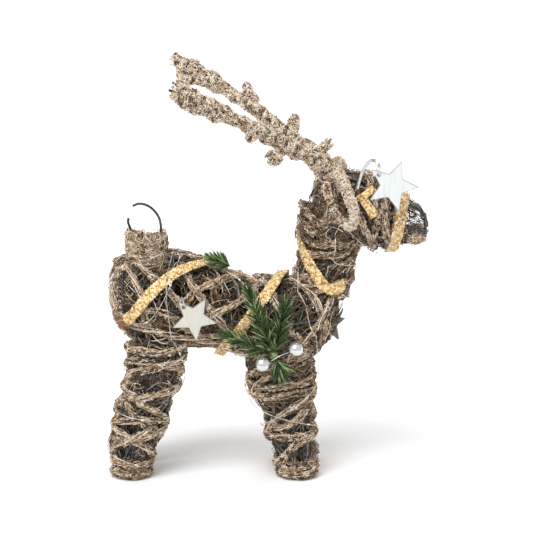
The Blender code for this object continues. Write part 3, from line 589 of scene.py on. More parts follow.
def tangle(soup, body, count, low, high, angles=(-180, 180), depth=(2.5, 7.5), length=(18, 46),
           tones=(0.12, 0.40, 0.42, 0.06), gaps=0.0, lean=0.0, thick=0.36, glitter=0.5):
    """Loose fibres lying in the body's wall, thinned out where the gaps are."""
    k = 8
    along = rng.uniform(low, high, count)
    angle = rng.uniform(angles[0], angles[1], count)
    if gaps > 0:
        q = np.radians(angle)
        wave = (np.sin(along * 0.14 + 2.1 * np.sin(q)) * np.cos(2 * q + along * 0.05)
                + 0.6 * np.sin(3 * q + along * 0.11))
        keep = wave + rng.normal(size=count) * 0.25 > gaps * 2.2 - 1.6
        along, angle = along[keep], angle[keep]
    n = len(along)
    size = rng.uniform(length[0], length[1], (n, 1))
    heading = rng.uniform(0, TURN, (n, 1)) if lean == 0 else rng.normal(size=(n, 1)) * lean
    curl = rng.normal(size=(n, 1)) * 0.9
    t = np.linspace(-0.5, 0.5, k)[None]
    h = heading + curl * t
    da = size * t * np.sin(h)
    dq = np.degrees(size * t * np.cos(h) / MEAN_RADIUS)
    lift = -rng.uniform(depth[0], depth[1], (n, 1))
    lift = lift + 1.2 * np.sin(TURN * t + rng.uniform(0, TURN, (n, 1)))
    line = body.point(np.clip(along[:, None] + da, low - 4, high + 4), angle[:, None] + dq, lift)
    radii = thick * rng.uniform(0.5, 1.3, (n, 1)) * np.sin(
        np.linspace(0.2, math.pi - 0.2, k))[None] ** 0.5
    slots = rng.choice([LIGHT, MIDDLE, DARK, PALE, SHADE][:len(tones)], n, p=tones)
    soup.tubes(line, radii, 3, slots)
    flakes(soup, line, int(n * glitter))


# Fibres deep in the walls, mostly dark in the body and grey in the legs: painted shade that fills
# the gaps between the strands.
INSIDE = dict(depth=(6.0, 10.0), tones=(0.02, 0.12, 0.66, 0.0, 0.20), thick=1.0, glitter=0.1)
LEG_INSIDE = dict(INSIDE, tones=(0.02, 0.06, 0.22, 0.0, 0.70))


def crossing(low, high, turns, phase, wobble):
    """A route that winds around a body while it moves along it."""
    count = int(turns * 8) + 2
    t = np.linspace(0, 1, count)
    jitter = rng.normal(size=count) * wobble
    return [(low + (high - low) * a + j, phase + 360 * turns * a) for a, j in zip(t, jitter)]


def other_way(routes):
    return [[(along, -angle) for along, angle in route] for route in routes]


def wound(soup, body, routes, depth=2.6, **kinds):
    for number, route in enumerate(routes):
        points, normals = laid_line(body, route, depth - 0.25 * (number % 4))
        twine(soup, points, normals, **kinds)


COMBED = dict(strands=18, fuzz=4.2, spread=0.35, tones=(0.36, 0.18, 0.14, 0.32), thick=0.55)


def wrap_torso():
    body = Body(TORSO)
    soup = Soup()
    wound(soup, body, TORSO_STRANDS, **COMBED)
    soup.rope("torso_twine", "torso_wrap")
    wound(soup, body, BELLY_STRANDS, **COMBED)
    wound(soup, body, PROUD_STRANDS, depth=-1.8, **COMBED)
    soup.rope("torso_twine_belly")
    wound(soup, body, TORSO_LEFT_TURNS, **COMBED)
    soup.rope("torso_twine_left")
    wound(soup, body, TORSO_LONG_STRANDS, **COMBED)
    soup.rope("torso_twine_long")
    tangle(soup, body, 1250, -137, 66, gaps=0.7, tones=(0.08, 0.30, 0.54, 0.08), thick=0.42)
    tangle(soup, body, 1500, -134, 62, angles=(4, 176), **INSIDE)
    tangle(soup, body, 500, -134, 62, angles=(-176, -4), gaps=0.5, **INSIDE)
    tangle(soup, body, 600, -128, 60, angles=(-165, -95), gaps=0.3)
    tangle(soup, body, 200, -142, -128, gaps=0.2, length=(10, 24))
    soup.rope("torso_tangle")


def wrap_leg(place, stations, strands, sign):
    body = Body(stations, True, sign * LEG_Y)
    soup = Soup()
    routes = strands if sign < 0 else other_way(strands)
    wound(soup, body, routes, depth=1.7, fuzz=4.5, spread=0.4)
    wound(soup, body, [[(5, 30), (7, -30), (5, -90), (8, -150), (6, 180), (6, 130), (5, 70),
                        (5, 20)]], depth=0.8)
    soup.rope("twine_leg_" + place, "leg_wrap_" + place)
    wound(soup, body, other_way(routes), depth=1.9, tones=(0.30, 0.34, 0.30, 0.06), fuzz=2.6)
    soup.rope("cross_twine_leg_" + place)
    away = (0, 180) if sign < 0 else (-180, 0)
    tangle(soup, body, 420, 4, 134, angles=away, lean=0.6, **LEG_INSIDE)
    tangle(soup, body, 160, 4, 134, gaps=0.5, lean=0.6, **LEG_INSIDE)
    tangle(soup, body, 520, 62, 134, gaps=0.5, length=(14, 34), lean=0.5,
           tones=(0.16, 0.34, 0.40, 0.10), glitter=1.0)
    tangle(soup, body, 170, 4, 66, gaps=0.6, length=(12, 30), lean=0.5)
    tangle(soup, body, 260, 2, 18, gaps=0.0, length=(10, 22), lean=0.3,
           tones=(0.35, 0.4, 0.15, 0.1), depth=(0.0, 5.0))
    soup.rope("tangle_leg_" + place)


def wrap_neck():
    body = Body(NECK, True)
    soup = Soup()
    wound(soup, body, [crossing(172, 244, 2.4, 180, 4), crossing(240, 176, 1.7, 60, 4)],
          depth=1.8, tones=(0.30, 0.32, 0.22, 0.16))
    nape = [(226, 120), (234, 150), (240, 180), (236, 210), (228, 240)]
    throat = [(196, -60), (206, -25), (211, 0), (207, 25), (198, 60)]
    wound(soup, body, [nape], depth=-2.4)
    collar = [(243, 130), (249, 160), (252, 180), (249, 200), (243, 230)]
    wound(soup, body, [collar], depth=-3.5)
    wound(soup, body, [throat], depth=1.2)
    soup.rope("neck_twine", "neck_wrap")
    tangle(soup, body, 1700, 168, 246, gaps=0.25, lean=0.9, tones=(0.10, 0.36, 0.48, 0.06))
    tangle(soup, body, 500, 168, 246, lean=0.9, **INSIDE)
    tangle(soup, body, 160, 222, 248, angles=(130, 230), depth=(-4, 2), length=(10, 26), lean=0.6)
    tangle(soup, body, 160, 186, 210, angles=(-45, 45), depth=(0, 3), length=(10, 26), lean=0.9)
    soup.rope("neck_tangle")


def wrap_head():
    body = Body(HEAD)
    soup = Soup()
    wound(soup, body, HEAD_STRANDS + [crossing(44, 64, 1.2, 20, 2), crossing(102, 126, 1.2, 0, 2)])
    soup.rope("head_twine", "head_wrap")
    wound(soup, body, other_way(HEAD_STRANDS))
    soup.rope("head_twine_left")
    for low, high, angles, count in ((42, 72, (-180, 180), 600), (72, 100, (-180, -56), 260),
                                     (72, 100, (0, 180), 290), (100, 128, (-180, 180), 440)):
        tangle(soup, body, count, low, high, angles=angles, gaps=0.25, lean=0.7,
               length=(8, 22), tones=(0.12, 0.38, 0.42, 0.08))
    tangle(soup, body, 500, 46, 126, lean=0.7, **INSIDE)
    soup.rope("head_tangle")
    jaw = Body(JAW)
    wound(soup, jaw, [crossing(131, 143, 3.5, 0, 0.3)], depth=0.6, radius=1.7, strands=8,
          thick=0.4, fuzz=3.0, tones=(0.44, 0.12, 0.06, 0.38))
    tangle(soup, jaw, 420, 131, 143, depth=(-0.6, 1.4), length=(8, 18),
           tones=(0.46, 0.12, 0.04, 0.38), lean=0.4)
    nose = Body(NOSE)
    # Mostly grey fibres between the nose wires: painted shade that fills the gaps there.
    tangle(soup, nose, 150, 130, 144, depth=(2.0, 6.0), length=(8, 18),
           tones=(0.10, 0.20, 0.20, 0.0, 0.50), thick=0.5)
    soup.rope("jaw_twine", "jaw_wrap")


def wrap_tail():
    body = Body(TAIL, True)
    soup = Soup()
    tones = (0.34, 0.20, 0.12, 0.34)
    wound(soup, body, [crossing(192, 225, 4.6, 0, 0.8)], depth=0.8, radius=2.9, tones=tones)
    tangle(soup, body, 1100, 191, 225, depth=(-0.6, 1.8), length=(10, 30), tones=tones,
           lean=0.8)
    # The rim sags in its middle.
    for verts in soup.verts:
        dip = 1 - ((verts[:, 0] - TAIL[0][1]) / TAIL[1][2]) ** 2
        rise = np.clip((verts[:, 2] - 208) / 18, 0, 1)
        verts[:, 2] -= 4.2 * rise * np.clip(dip, 0, 1)
    soup.rope("tail_twine", "tail_wrap")


def mirrored(points, sign):
    return [(x, y * sign, z) for x, y, z in points]


def coat(soup, line, radii, pitch=6.0, tones=(0.22, 0.09, 0.14, 0.55), ropes=2.4, lumps=0.12):
    """Twine wound closely around a rod, under a lumpy fur of short fibres."""
    line = evenly(line, 1.5)
    run = run_of(line)
    radii = np.interp(run / run[-1], np.linspace(0, 1, len(radii)), radii)
    tangent, side = sideways(line, [0.2, 0.3, 1.0])
    up = np.cross(tangent, side)
    p = rng.uniform(0, TURN, 3)

    def place(s, q, inset):
        out = (read(side, run, s) * np.cos(q)[:, None]
               + read(up, run, s) * np.sin(q)[:, None])
        wave = np.sin(s * 0.33 + q + p[0]) + np.sin(s * 0.21 - 2 * q + p[1])
        r = np.interp(s, run, radii) * (1 + lumps * wave) - inset
        return read(line, run, s) + out * r[:, None], out

    s = np.arange(0, run[-1], 2.2 / (2 * np.pi * radii.mean()) * pitch)
    twist, out = place(s, s / pitch * 2 * np.pi, ropes * 0.9)
    twine(soup, twist, out, radius=ropes, strands=8, length=26, tones=tones, fuzz=1.6,
          glitter=0.4)
    count = int(run[-1] * radii.mean() * 2.0)
    base, out = place(rng.uniform(0, run[-1], count), rng.uniform(0, TURN, count), 0.6)
    way = flattened(rng.normal(size=(count, 3)), out)
    fur(soup, base, way, rng.uniform(2.0, 5, (count, 1)), tones, 0.48)
    flakes(soup, base[:, None], int(count * 0.3))


def wrap_antlers():
    for side, sign in SIDES:
        soup = Soup()
        beam = eased(mirrored(BEAM, sign))
        beam[:, 2] += ANTLER_DROP[side] * np.linspace(0, 1, len(beam))
        coat(soup, beam, BEAM_COAT[side])
        soup.rope("antler_twine_" + side, "antler_wrap_" + side)
        for tine in TINES[side]:
            coat(soup, evenly(mirrored(tine, sign), 3), [6.0, 5.4, 5.2, 4.6])
        if side == "left":
            coat(soup, eased(FAR_TIP_LINK), [3.4, 3.0, 3.4], pitch=5.0, ropes=1.6)
        for x, y, z, size in BLOBS[side]:
            ball = [(x - size * 0.5, y * sign, z - size * 0.4), (x, y * sign, z),
                    (x + size * 0.5, y * sign, z + size * 0.4)]
            coat(soup, ball, [size * 0.75, size, size, size * 0.8], lumps=0.05)
        soup.rope("tine_twine_" + side)


def wrap_ears():
    for side, sign in SIDES:
        soup = Soup()
        path = mirrored(EAR, sign)
        coat(soup, eased(path[:EAR_TIP + 2]), [3.4, 4.8, 5.4, 5.4, 5.0, 3.8], pitch=4.6,
             ropes=1.7, tones=(0.13, 0.02, 0.0, 0.85), lumps=0.05)
        coat(soup, eased(path[EAR_TIP:]), [4.4, 4.0, 4.0, 4.0], pitch=4.6, ropes=1.5,
             tones=(0.30, 0.22, 0.14, 0.34), lumps=0.05)
        soup.rope("ear_twine_" + side, "ear_wrap_" + side)
        middle = EAR_MIDDLE * (1, sign, 1)
        inner = middle + (np.array(path[2:-1]) - middle) * 0.6
        wire(soup, evenly(eased([path[0], *inner, path[-1]]), 1.5), 1.1)
        soup.build("ear_loop_" + side, [STEEL], "steel_wire", "ear_wire_" + side)


# --- pine ----------------------------------------------------------------------------------

NEEDLES = [
    two_tone("needle_dark", (0.010, 0.026, 0.005), (0.030, 0.062, 0.013), 300, 0.45),
    two_tone("needle_green", (0.030, 0.064, 0.014), (0.095, 0.150, 0.040), 300, 0.45),
    two_tone("needle_tip", (0.14, 0.22, 0.07), (0.40, 0.48, 0.22), 300, 0.5),
    two_tone("pine_stem", (0.04, 0.045, 0.015), (0.12, 0.10, 0.04), 400, 0.7),
]


def needles(soup, start, end, count, length, spread=0.95, tones=(0.38, 0.40, 0.22)):
    """A bottle brush twig whose needles lean forward and close in at its tip."""
    start, end = np.array(start, float), np.array(end, float)
    way = unit(end - start)
    t = (np.arange(count) + rng.uniform(0, 1, count)) / count
    base = start + (end - start) * t[:, None]
    away = rng.normal(size=(count, 3))
    away = unit(away - way * np.sum(away * way, axis=1, keepdims=True))
    open_up = spread * (1 - 0.75 * t[:, None] ** 3) * rng.uniform(0.8, 1.15, (count, 1))
    heading = unit(way + away * open_up)
    size = length * rng.uniform(0.8, 1.1, (count, 1)) * (1 - 0.15 * t[:, None])
    u = np.linspace(0, 1, 6)
    curve = base[:, None] + heading[:, None] * (size[:, None] * u[None, :, None])
    curve += rng.normal(size=(count, 1, 3)) * 0.05 * size[:, None] * (u ** 2)[None, :, None]
    radii = 0.62 * np.array([0.7, 1.0, 1.0, 0.95, 0.8, 0.3])
    soup.tubes(curve, radii[None], 4, rng.choice([0, 1, 2], count, p=tones))
    stem = np.stack([start + (end - start) * a for a in np.linspace(0, 1, 8)])[None]
    stem = stem + smooth_wander(1, 8, 0.5)
    soup.tubes(stem, np.linspace(1.0, 0.6, 8)[None], 6, 3)


def make_pine():
    base = np.array(SPRIG_BASE, float)
    for number, tip in enumerate(SPRIG_TIPS, 1):
        tip = np.array(tip, float)
        way = unit(tip - base)
        soup = Soup()
        needles(soup, base + way * 4, tip - way * 8, (170, 160, 105, 90)[number - 1], 17.5)
        soup.build(f"pine_{number}", NEEDLES, "pine", f"pine_branch_{number}")
    a, b = (np.array(p, float) for p in BACK_TIP)
    needles(soup, a, b - unit(b - a) * 9, 100, 13.5, 1.1, (0.2, 0.45, 0.35))
    soup.build("pine_back", NEEDLES, "pine", "pine_tip_back")
    for _ in range(9):
        axis = unit(rng.normal(size=3))
        other = unit(np.cross(axis, rng.normal(size=3)))
        third = np.cross(axis, other)
        q = np.linspace(0, 2 * np.pi * 0.98, 18)
        loop = base + 3.3 * (np.outer(np.cos(q), other) + np.outer(np.sin(q), third))
        soup.tubes(loop[None], np.full((1, 18), 0.7), 5, int(rng.integers(0, 4)))
    soup.build("sprig_wrap", NEEDLES, "pine", "sprig_tie")


# --- ribbon --------------------------------------------------------------------------------

SAG_RUN = 16.0
PLAIT_LIFT = 1.35
PLAIT_STEP = 0.6
PLAIT_LAY = 1.9  # an end's way there and back again, in widths of the ribbon
THREAD_HALVES = (1.25, 0.34)
THREAD_GOLD, THREAD_PALE, THREAD_DARK = range(3)
GOLD_THREAD = [
    mottled("ribbon_gold", [(0.3, (0.24, 0.12, 0.03)), (0.5, (0.60, 0.38, 0.14)),
                            (0.7, (0.86, 0.66, 0.34))], 420, 0.36, 0.35,
            bumps=(3000, 0.5, 0.0002)),
    two_tone("ribbon_pale", (0.70, 0.48, 0.21), (1.0, 0.85, 0.55), 420, 0.32, 0.4,
             bumps=(3000, 0.5, 0.0002)),
    # The dark thread colour: painted shade in the band under the plait, and the colour of a dark
    # end.
    two_tone("ribbon_dark", (0.16, 0.055, 0.02), (0.36, 0.15, 0.06), 420, 0.42, 0.4,
             bumps=(3000, 0.5, 0.0002)),
]


def plait(soup, body, route, width=RIBBON_W, lift=0.0, ends=7, dark_end=0.0, sag=0.0):
    """A flat braid: each end swings from edge to edge, over one neighbour and under the next.

    The dark end, in the dark thread colour, and the sag are both at the route's first point.
    """
    stops = evenly(eased(route), 0.8)
    centre = body.point(stops[:, 0], stops[:, 1], PLAIT_LIFT + lift)
    normal = body.normal(stops[:, 0], stops[:, 1])
    run = run_of(centre)
    s = np.arange(0, run[-1], PLAIT_STEP)

    p, n = read(centre, run, s), unit(read(normal, run, s))
    p[:, 2] -= sag * np.clip(1 - s / SAG_RUN, 0, 1) ** 2
    across = sideways(p, n)[1]
    lay = width * PLAIT_LAY
    half = width / 2 - 1.1
    wave = 1 + 0.06 * np.sin(s * 0.35 + 0.7)
    for k in range(ends):
        phase = s / lay + k / ends
        cycle = np.mod(phase, 1.0)
        lateral = np.where(cycle < 0.5, 4 * cycle - 1, 3 - 4 * cycle) * half * wave
        up = 0.55 * np.cos(2 * np.pi * phase * ends)
        line = p + across * lateral[:, None] + n * np.where(cycle < 0.5, up, -up)[:, None]
        thread = THREAD_GOLD if k % 3 else THREAD_PALE
        flat_strand(soup, line, n, *THREAD_HALVES,
                    np.where(s < dark_end, THREAD_DARK, thread))
    # A dark band under the threads: painted shade that shows in the gaps between them.
    flat_strand(soup, p - n * 0.75, n, half, 0.25, THREAD_DARK)


FLAT_SECTION = [(-1, -0.4), (-0.5, -1), (0.5, -1), (1, -0.4), (1, 0.4), (0.5, 1), (-0.5, 1),
                (-1, 0.4)]


def flat_strand(soup, line, normal, half_width, half_thick, slots):
    """A flat band along a line, with one slot or a slot for each of its points."""
    side = sideways(line, normal)[1] * half_width
    up = unit(normal) * half_thick
    rings = np.stack([line + side * a + up * b for a, b in FLAT_SECTION], axis=1)
    k, sides = rings.shape[:2]
    slots = np.broadcast_to(slots, (k,))
    caps = [[start, start + j, start + j + 1, start + j + 2][::way]
            for start, way in ((0, -1), ((k - 1) * sides, 1)) for j in (1, 3, 5)]
    soup.add(rings, np.concatenate([skin(1, k, sides), caps]),
             np.concatenate([np.repeat(slots[:-1], sides), np.full(len(caps), slots[-1])]))


def make_ribbons():
    torso, neck, head = Body(TORSO), Body(NECK, True), Body(HEAD)
    made = {"rump": [(torso, RUMP_RIBBON, dict(lift=0.4, dark_end=14))],
            "shoulder": [(torso, SHOULDER_RIBBON, dict(sag=5.0))],
            "neck": [(neck, NECK_RIBBON, {})],
            "muzzle": [(head, MUZZLE_RIBBON, {})],
            "cheek": [(head, CHEEK_RIBBON, dict(width=9.0)),
                      (head, CHEEK_TAIL, dict(width=7.0, lift=1.6, ends=5))]}
    for place, runs in made.items():
        soup = Soup()
        for body, route, kinds in runs:
            plait(soup, body, route, **kinds)
        soup.build("plait_" + place, GOLD_THREAD, "ribbon", place + "_ribbon")


# --- wires ---------------------------------------------------------------------------------

FRAME_DEPTH = 3.6
WIRE_R = 1.25
HOOP_R = WIRE_R * 0.93
RAIL_POINTS = 26
HOOP_POINTS = 40
NOSE_DEPTH = 2.5
HOOK = [(-97.3, 0, 200), (-97.2, 0, 226), (-99, 0, 238), (-104.4, 0, 246), (-111, 0, 250.5),
        (-118, 0, 251.5), (-123, 0, 249.4)]
HOOK_STUB = [(-124.4, 0, 198), (-124.8, 0, 212), (-125.4, 0, 227), (-127.5, 0, 234), (-127, 0, 238)]


def wire(soup, points, radius=WIRE_R, sides=8, closed=False):
    points = np.asarray(points, float)
    if closed:
        points = np.vstack([points, points[:2]])
    soup.tubes(points[None], np.full((1, len(points)), radius), sides, turn=0.3)


def weld(soup, point):
    """A small blob of weld where two wires meet."""
    point = np.asarray(point, float)
    way = unit(rng.normal(size=3))
    line = point + np.outer(np.linspace(-1.9, 1.9, 6), way)
    soup.tubes(line[None], np.array([[0.5, 1.5, 1.9, 1.9, 1.5, 0.5]]), 7, 0)


def wire_cage(soup, body, rails, hoops, depth=FRAME_DEPTH):
    for low, high, angle in rails:
        along = np.linspace(low, high, RAIL_POINTS)
        wire(soup, body.point(along, angle, -depth + 0.25 * np.sin(along * 0.2)))
    for along, start, end in hoops:
        q = np.linspace(start, end, HOOP_POINTS)
        wire(soup, body.point(along, q, -depth), HOOP_R, closed=end - start >= 360)
        for low, high, angle in rails:
            if low <= along <= high:
                weld(soup, body.point(along, angle, -depth))


def make_frames():
    torso, head, nose, neck = Body(TORSO), Body(HEAD), Body(NOSE), Body(NECK, True)
    soup = Soup()
    rails = [(-133, 58, 0), (-133, 58, 90), (-133, 58, -90), (-132, 57, 151), (-132, 57, -151)]
    wire_cage(soup, torso, rails, [(-132, -180, 180), (-86, -151, 151), (-4, -151, 151),
                                   (57, -180, 180)])
    soup.build("torso_cage", [STEEL], "steel_wire", "torso_frame")
    wire_cage(soup, neck, [(172, 240, q) for q in (0, 90, 180, 270)], [(200, -180, 180)])
    soup.build("neck_cage", [STEEL], "steel_wire", "neck_frame")
    for name, stations, _ in LEGS:
        for side, sign in SIDES:
            leg = Body(stations, True, sign * LEG_Y)
            soup = Soup()
            wire_cage(soup, leg, [(2, 112, q) for q in (0, 90, 180, 270)],
                      [(3, -180, 180), (60, -180, 180)], 5.6)
            soup.build(f"leg_cage_{name}_{side}", [STEEL],
                       "steel_wire", f"leg_frame_{name}_{side}")
    for angle in (35, -35, 145, -145):
        along = np.linspace(52, 127, 18)
        back = head.point(along, angle, -FRAME_DEPTH)
        front = nose.point(np.linspace(133, 145.5, 10), angle, -NOSE_DEPTH)
        wire(soup, np.vstack([back, front]))
    for body, along, inset in ((head, 58, FRAME_DEPTH), (head, 98, FRAME_DEPTH),
                               (nose, 145, NOSE_DEPTH)):
        q = np.linspace(-180, 180, HOOP_POINTS)
        wire(soup, body.point(along, q, -inset), HOOP_R)
    bar = [head.point(98, -93, -6), head.point(116, -93, -6), nose.point(132, -93, -5)]
    bar += [nose.point(a, -93, -NOSE_DEPTH) for a in (138, 145)]
    wire(soup, evenly(eased(bar), 2.5), WIRE_R * 0.85)
    soup.build("head_cage", [STEEL], "steel_wire", "head_frame")
    wire(soup, evenly(eased(HOOK), 1.5))
    wire(soup, evenly(eased(HOOK_STUB), 1.5))
    wire(soup, [(-97.3, 0, 212), (-104, 0, 211), (-119, 0, 211), (-124.8, 0, 212)], WIRE_R * 0.9)
    soup.build("tail_hook_wire", [STEEL], "steel_wire", "tail_wire")


CASE_END = -13.5
LEAD_Y = 7.0
LEAD_Z = 129.0
LAMP_SPACING = 80.0
LAMP_STEP = 1.2  # between the points of a light wire
LAMP_TWIST = 0.22  # radians at each point
LACQUERED_R = 0.2
LACQUERED_GAP = 0.22  # from the middle of the pair to the middle of either wire


def surface_run(body, route, lift):
    stops = eased(route)
    return body.point(stops[:, 0], stops[:, 1], lift)


def lead_out(y, *places):
    """A lead's way out of the battery case, with the places it turns down to."""
    return [(CASE_END - 4, y, LEAD_Z), (CASE_END + 1.2, y, LEAD_Z),
            (CASE_END + 2.9, y, LEAD_Z - 2), *places]


def lamp_wire(name, node, runs):
    """Two fine lacquered wires side by side, with a clear bead over a lamp now and then."""
    line = evenly(eased(np.vstack(runs), 3), LAMP_STEP)
    line[:, 1] += 0.25 * np.sin(np.arange(len(line)) * 0.13)
    tangent, side = sideways(line, [0.3, 0.2, 1.0])
    soup = Soup()
    twist = np.arange(len(line)) * LAMP_TWIST
    other = np.cross(tangent, side)
    for half in (0, math.pi):
        off = side * np.cos(twist + half)[:, None] + other * np.sin(twist + half)[:, None]
        wire(soup, line + off * LACQUERED_GAP, LACQUERED_R, 5)
    every = int(LAMP_SPACING / LAMP_STEP)
    for at in range(len(line) - 5, 30, -every):
        bead = np.stack([line[at] + tangent[at] * t for t in np.linspace(-1.7, 1.7, 9)])
        radii = 0.9 * np.sin(np.linspace(0.25, math.pi - 0.25, 9)) ** 0.6
        soup.tubes(bead[None], radii[None], 10, 1)
        chip = np.stack([line[at] + tangent[at] * t for t in (-0.7, -0.3, 0.3, 0.7)])
        soup.tubes(chip[None] + [0, -0.8, 0], np.array([[0.2, 0.4, 0.4, 0.2]]), 6, 2)
    soup.build(name, [LAMP_WIRE, LAMP_BEAD, LAMP_CHIP], "silver_wire", node)


BRIGHT_WIRE = two_tone("silver_wire", (0.48, 0.48, 0.50), (0.76, 0.76, 0.78), 500, 0.22, 1.0,
                       bumps=(2600, 0.15, 0.0001))
FACE_HOLE = np.array((100.6, -40, 286.65))


def make_face_hook():
    """A flattened wire loop that rises off the head and narrows to pass through the star."""
    head = Body(HEAD)
    rise = evenly(eased([head.point(82, -57, 2.6), (83.5, -29, 279), (88, -34, 292),
                         (94.5, -38, 299.5), (100, -43, 297), FACE_HOLE + (0.6, -3, 1.2)]), 0.8)
    soup = Soup()
    out = unit(np.tile([0.15, -1.0, 0.25], (len(rise), 1)))
    flat_strand(soup, rise[:-6], out[:-6], 1.55, 0.4, 0)
    end = [FACE_HOLE + (-1, 3.5, 1.5), FACE_HOLE + (-2, 4, 5)]
    wire(soup, evenly(eased([rise[-9], rise[-4], FACE_HOLE + (0.4, -2.6, 0.8), FACE_HOLE, *end]),
                      0.8), 0.6)
    soup.build("face_hook_loop", [BRIGHT_WIRE], "silver_wire", "face_hook")


LAMP_WIRE = two_tone("lamp_wire", (0.56, 0.53, 0.46), (0.86, 0.83, 0.76), 600, 0.35, 0.7)
LAMP_BEAD = two_tone("lamp_bead", (0.66, 0.67, 0.66), (0.78, 0.78, 0.77), 700, 0.15, 0.0,
                     Coat_Weight=0.5, Coat_Roughness=0.08)
LAMP_CHIP = two_tone("lamp_chip", (0.70, 0.52, 0.12), (0.85, 0.70, 0.22), 900, 0.4)


def make_light_wires():
    torso, head, neck = Body(TORSO), Body(HEAD), Body(NECK, True)
    leg_front, leg_rear = Body(FRONT_LEG, True, -LEG_Y), Body(REAR_LEG, True, -LEG_Y)
    low, high = 2.3, 4.0  # lifts of the wire on the twine and over a ribbon or strand
    runs = [lead_out(-LEAD_Y, (CASE_END + 3.1, -8, 112), (CASE_END + 1.5, -10, 105.5)),
            surface_run(leg_front, [(98, 152), (88, 172), (73, 188), (60, 262), (49.5, 350),
                                    (43, 420), (43, 490), (50, 540)], low),
            surface_run(leg_front, [(52, 557), (61, 610), (88, 694), (101, 706)], high),
            surface_run(torso, [(45, -113), (39, -93), (35, -68), (28, -47)], low),
            surface_run(neck, [(194, 214), (199, 180), (202, 120), (199, 60), (195, 10),
                               (198, -40), (203, -76), (216, -81), (229, -86)], low),
            surface_run(head, [(68, -100), (76, -116), (86, -132), (96, -155), (104, -190),
                               (113, -235), (121, -290), (127, -340), (129, -370), (127, -405),
                               (119, -455), (110, -500)], low + 0.6)]
    lamp_wire("lamp_line_front", "light_wire_front", runs)
    runs = [lead_out(LEAD_Y, (CASE_END + 3.0, 6, 112), (CASE_END + 1.0, 3, 106)),
            surface_run(torso, [(-18, -172), (-26, -152), (-29, -128), (-27, -104), (-16, -86),
                                (-12, -60), (-22, -32), (-41, -15), (-58, -17), (-72, 4),
                                (-79, -8), (-84, -44), (-94, -77), (-108, -104), (-121, -112),
                                (-134, -122), (-141, -160), (-141, -205), (-133, -245),
                                (-118, -268), (-100, -305), (-87, -345), (-87, -372)], low),
            surface_run(torso, [(-92, -412), (-91, -440)], high),
            surface_run(leg_rear, [(136, -66), (118, -42), (101, -16), (86, 10), (77, 60),
                                   (71, 120), (66, 192), (60, 262), (54, 348), (44, 430),
                                   (30, 520), (20, 610), (14, 655)], low)]
    lamp_wire("lamp_line_rear", "light_wire_rear", runs)


# --- stars ---------------------------------------------------------------------------------

def painted_wood(name, tint, seed):
    """White paint over thin plywood: faint grain, brushed colour, a fine bump; a grey tint is
    painted shade.
    """
    made, tree, bsdf = shader(name, 0.5)
    grain = noise(tree, 90, 5.0, (9, 9, 0.7), seed)
    low, high = (tuple(c * k for c in tint) for k in (0.90, 1.05))
    tree.links.new(ramp(tree, grain, [(0.30, low), (0.5, tint), (0.75, high)]),
                   bsdf.inputs["Base Color"])
    bump(tree, bsdf, grain, 0.35, 0.0003)
    return made


def make_stars():
    for node, tint, seed in (("flank_star", (0.585, 0.57, 0.51), 5.0),
                             ("face_star", (0.69, 0.72, 0.72), 9.0),
                             # The chest star is white like the others: its grey tint is painted
                             # shade, as it hangs in shadow behind the chest.
                             ("chest_star", (0.38, 0.37, 0.36), 13.0)):
        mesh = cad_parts[node].data.copy()
        mesh.name = node + "_board"
        mesh.materials.clear()
        mesh.materials.append(painted_wood(node + "_paint", tint, seed))
        # The side and bevel faces take half the tint: painted shade that outlines the star.
        mesh.materials.append(painted_wood(node + "_edge", tuple(c * 0.5 for c in tint), seed))
        face_way = max(mesh.polygons, key=lambda face: face.area).normal.copy()
        for face in mesh.polygons:
            face.material_index = int(abs(face.normal.dot(face_way)) < 0.7)
        board = linked(node + "_board", mesh)
        merge = board.modifiers.new("merge", "WELD")
        merge.merge_threshold = 0.00002
        edge = board.modifiers.new("edge", "BEVEL")
        edge.width = 0.0005
        edge.segments = 3
        edge.material = 1
        edge.limit_method = "ANGLE"
        edge.angle_limit = math.radians(35)
        graph = bpy.context.evaluated_depsgraph_get()
        board.data = bpy.data.meshes.new_from_object(board.evaluated_get(graph))
        board.modifiers.clear()
        board.data.shade_smooth()
        board.data.set_sharp_from_angle(angle=math.radians(30))
        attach(board, node + "_body")
        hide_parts(node)


# --- carried-over CAD nodes ----------------------------------------------------------------

def dress(names, mat):
    for name in names:
        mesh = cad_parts[name].data
        mesh.materials.clear()
        mesh.materials.append(mat)


def dress_frame():
    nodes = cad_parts
    dress([n for n in nodes if "antler_wire" in n], STEEL)
    dress([n for n in nodes if n.endswith("_ring") or n.endswith("_staple")] + ["pearl_wire"],
          BRIGHT_WIRE)
    pearl = two_tone("pearl_coat", (0.66, 0.66, 0.65), (0.78, 0.78, 0.77), 120, 0.2, 0.8,
                     Coat_Weight=0.6, Coat_Roughness=0.05)
    dress(["pearl_1", "pearl_2"], pearl)
    plastic = two_tone("case_black", (0.02, 0.02, 0.022), (0.045, 0.045, 0.05), 220, 0.5,
                       bumps=(2600, 0.3, 0.0001))
    dress(["battery_case", "battery_lid", "case_end_cap", "switch_slider", "cable_tie"], plastic)
    dress(["battery_cell_1", "battery_cell_2"],
          two_tone("cell_wrap", (0.35, 0.18, 0.04), (0.62, 0.38, 0.10), 90, 0.35, 0.6))
    dress(["contact_plate", "contact_tab_1", "contact_tab_2"],
          two_tone("nickel", (0.60, 0.58, 0.52), (0.78, 0.76, 0.70), 400, 0.3, 1.0))
    dress(["circuit_board"],
          two_tone("board_green", (0.01, 0.12, 0.04), (0.03, 0.22, 0.08), 200, 0.45))


# --- stage, light and camera ---------------------------------------------------------------

FLOOR_HALF = 6.0


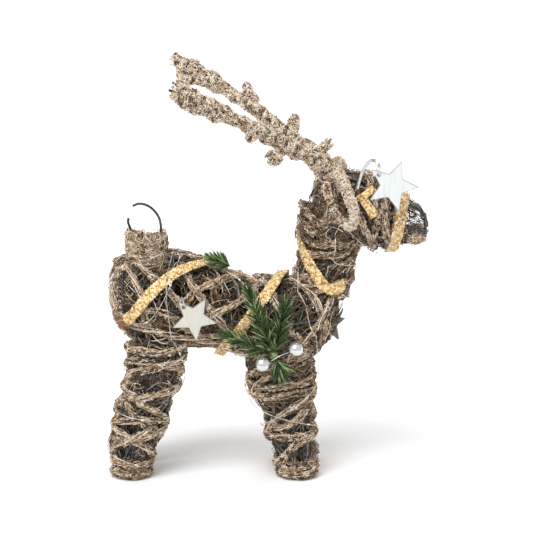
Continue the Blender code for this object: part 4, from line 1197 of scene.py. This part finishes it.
def make_stage():
    floor_mat, tree, bsdf = shader("floor", 0.9)
    value = noise(tree, 2.0, 2.0)
    tree.links.new(ramp(tree, value, [(0.3, (0.90, 0.90, 0.90)), (0.7, (0.93, 0.93, 0.93))]),
                   bsdf.inputs["Base Color"])
    mesh = bpy.data.meshes.new("floor")
    corners = [(-1, -1), (1, -1), (1, 1), (-1, 1)]
    mesh.from_pydata([(x * FLOOR_HALF, y * FLOOR_HALF, 0) for x, y in corners], [],
                     [(0, 1, 2, 3)])
    mesh.materials.append(floor_mat)
    linked("floor", mesh)


def facing(way):
    return way.to_track_quat("-Z", "Y").to_euler()


def area_light(name, place, target, size, power):
    data = bpy.data.lights.new(name, "AREA")
    data.shape = "DISK"
    data.size = size
    data.energy = power
    light = linked(name, data)
    light.location = place
    light.rotation_euler = facing(Vector(target) - Vector(place))


def make_light():
    world = bpy.data.worlds.new("studio")
    world.use_nodes = True
    sky = world.node_tree.nodes["Background"].inputs
    sky["Color"].default_value = (1, 1, 1, 1)
    sky["Strength"].default_value = 0.70
    bpy.context.scene.world = world
    bpy.context.scene.view_settings.view_transform = "Standard"
    data = bpy.data.lights.new("key", "SUN")
    data.energy = 2.3
    data.angle = math.radians(35)
    linked("key", data).rotation_euler = facing(Vector((0.3, 0.62, -1.0)))
    area_light("rim", (0.2, 1.3, 1.2), (0, 0, 0.2), 0.8, 6)


CAMERA_DISTANCE = 3.0
CAMERA_LIFT = math.radians(13)
FIELD = 0.4905  # the width of the view at the target, in metres
TARGET = (0.0011, 0, 0.1925)


def make_camera():
    data = bpy.data.cameras.new("camera")
    data.sensor_width = 36
    data.lens = 36 * CAMERA_DISTANCE / FIELD
    camera = linked("camera", data)
    way = Vector((0, -math.cos(CAMERA_LIFT), math.sin(CAMERA_LIFT)))
    camera.location = Vector(TARGET) + way * CAMERA_DISTANCE
    camera.rotation_euler = facing(-way)
    bpy.context.scene.camera = camera


make_camera()
make_stage()
make_light()
dress_frame()
wrap_torso()
for end, stations, strands in LEGS:
    for side, sign in reversed(SIDES):
        wrap_leg(f"{end}_{side}", stations, strands, sign)
wrap_neck()
wrap_head()
wrap_tail()
wrap_antlers()
wrap_ears()
make_pine()
make_ribbons()
make_frames()
make_light_wires()
make_face_hook()
make_stars()
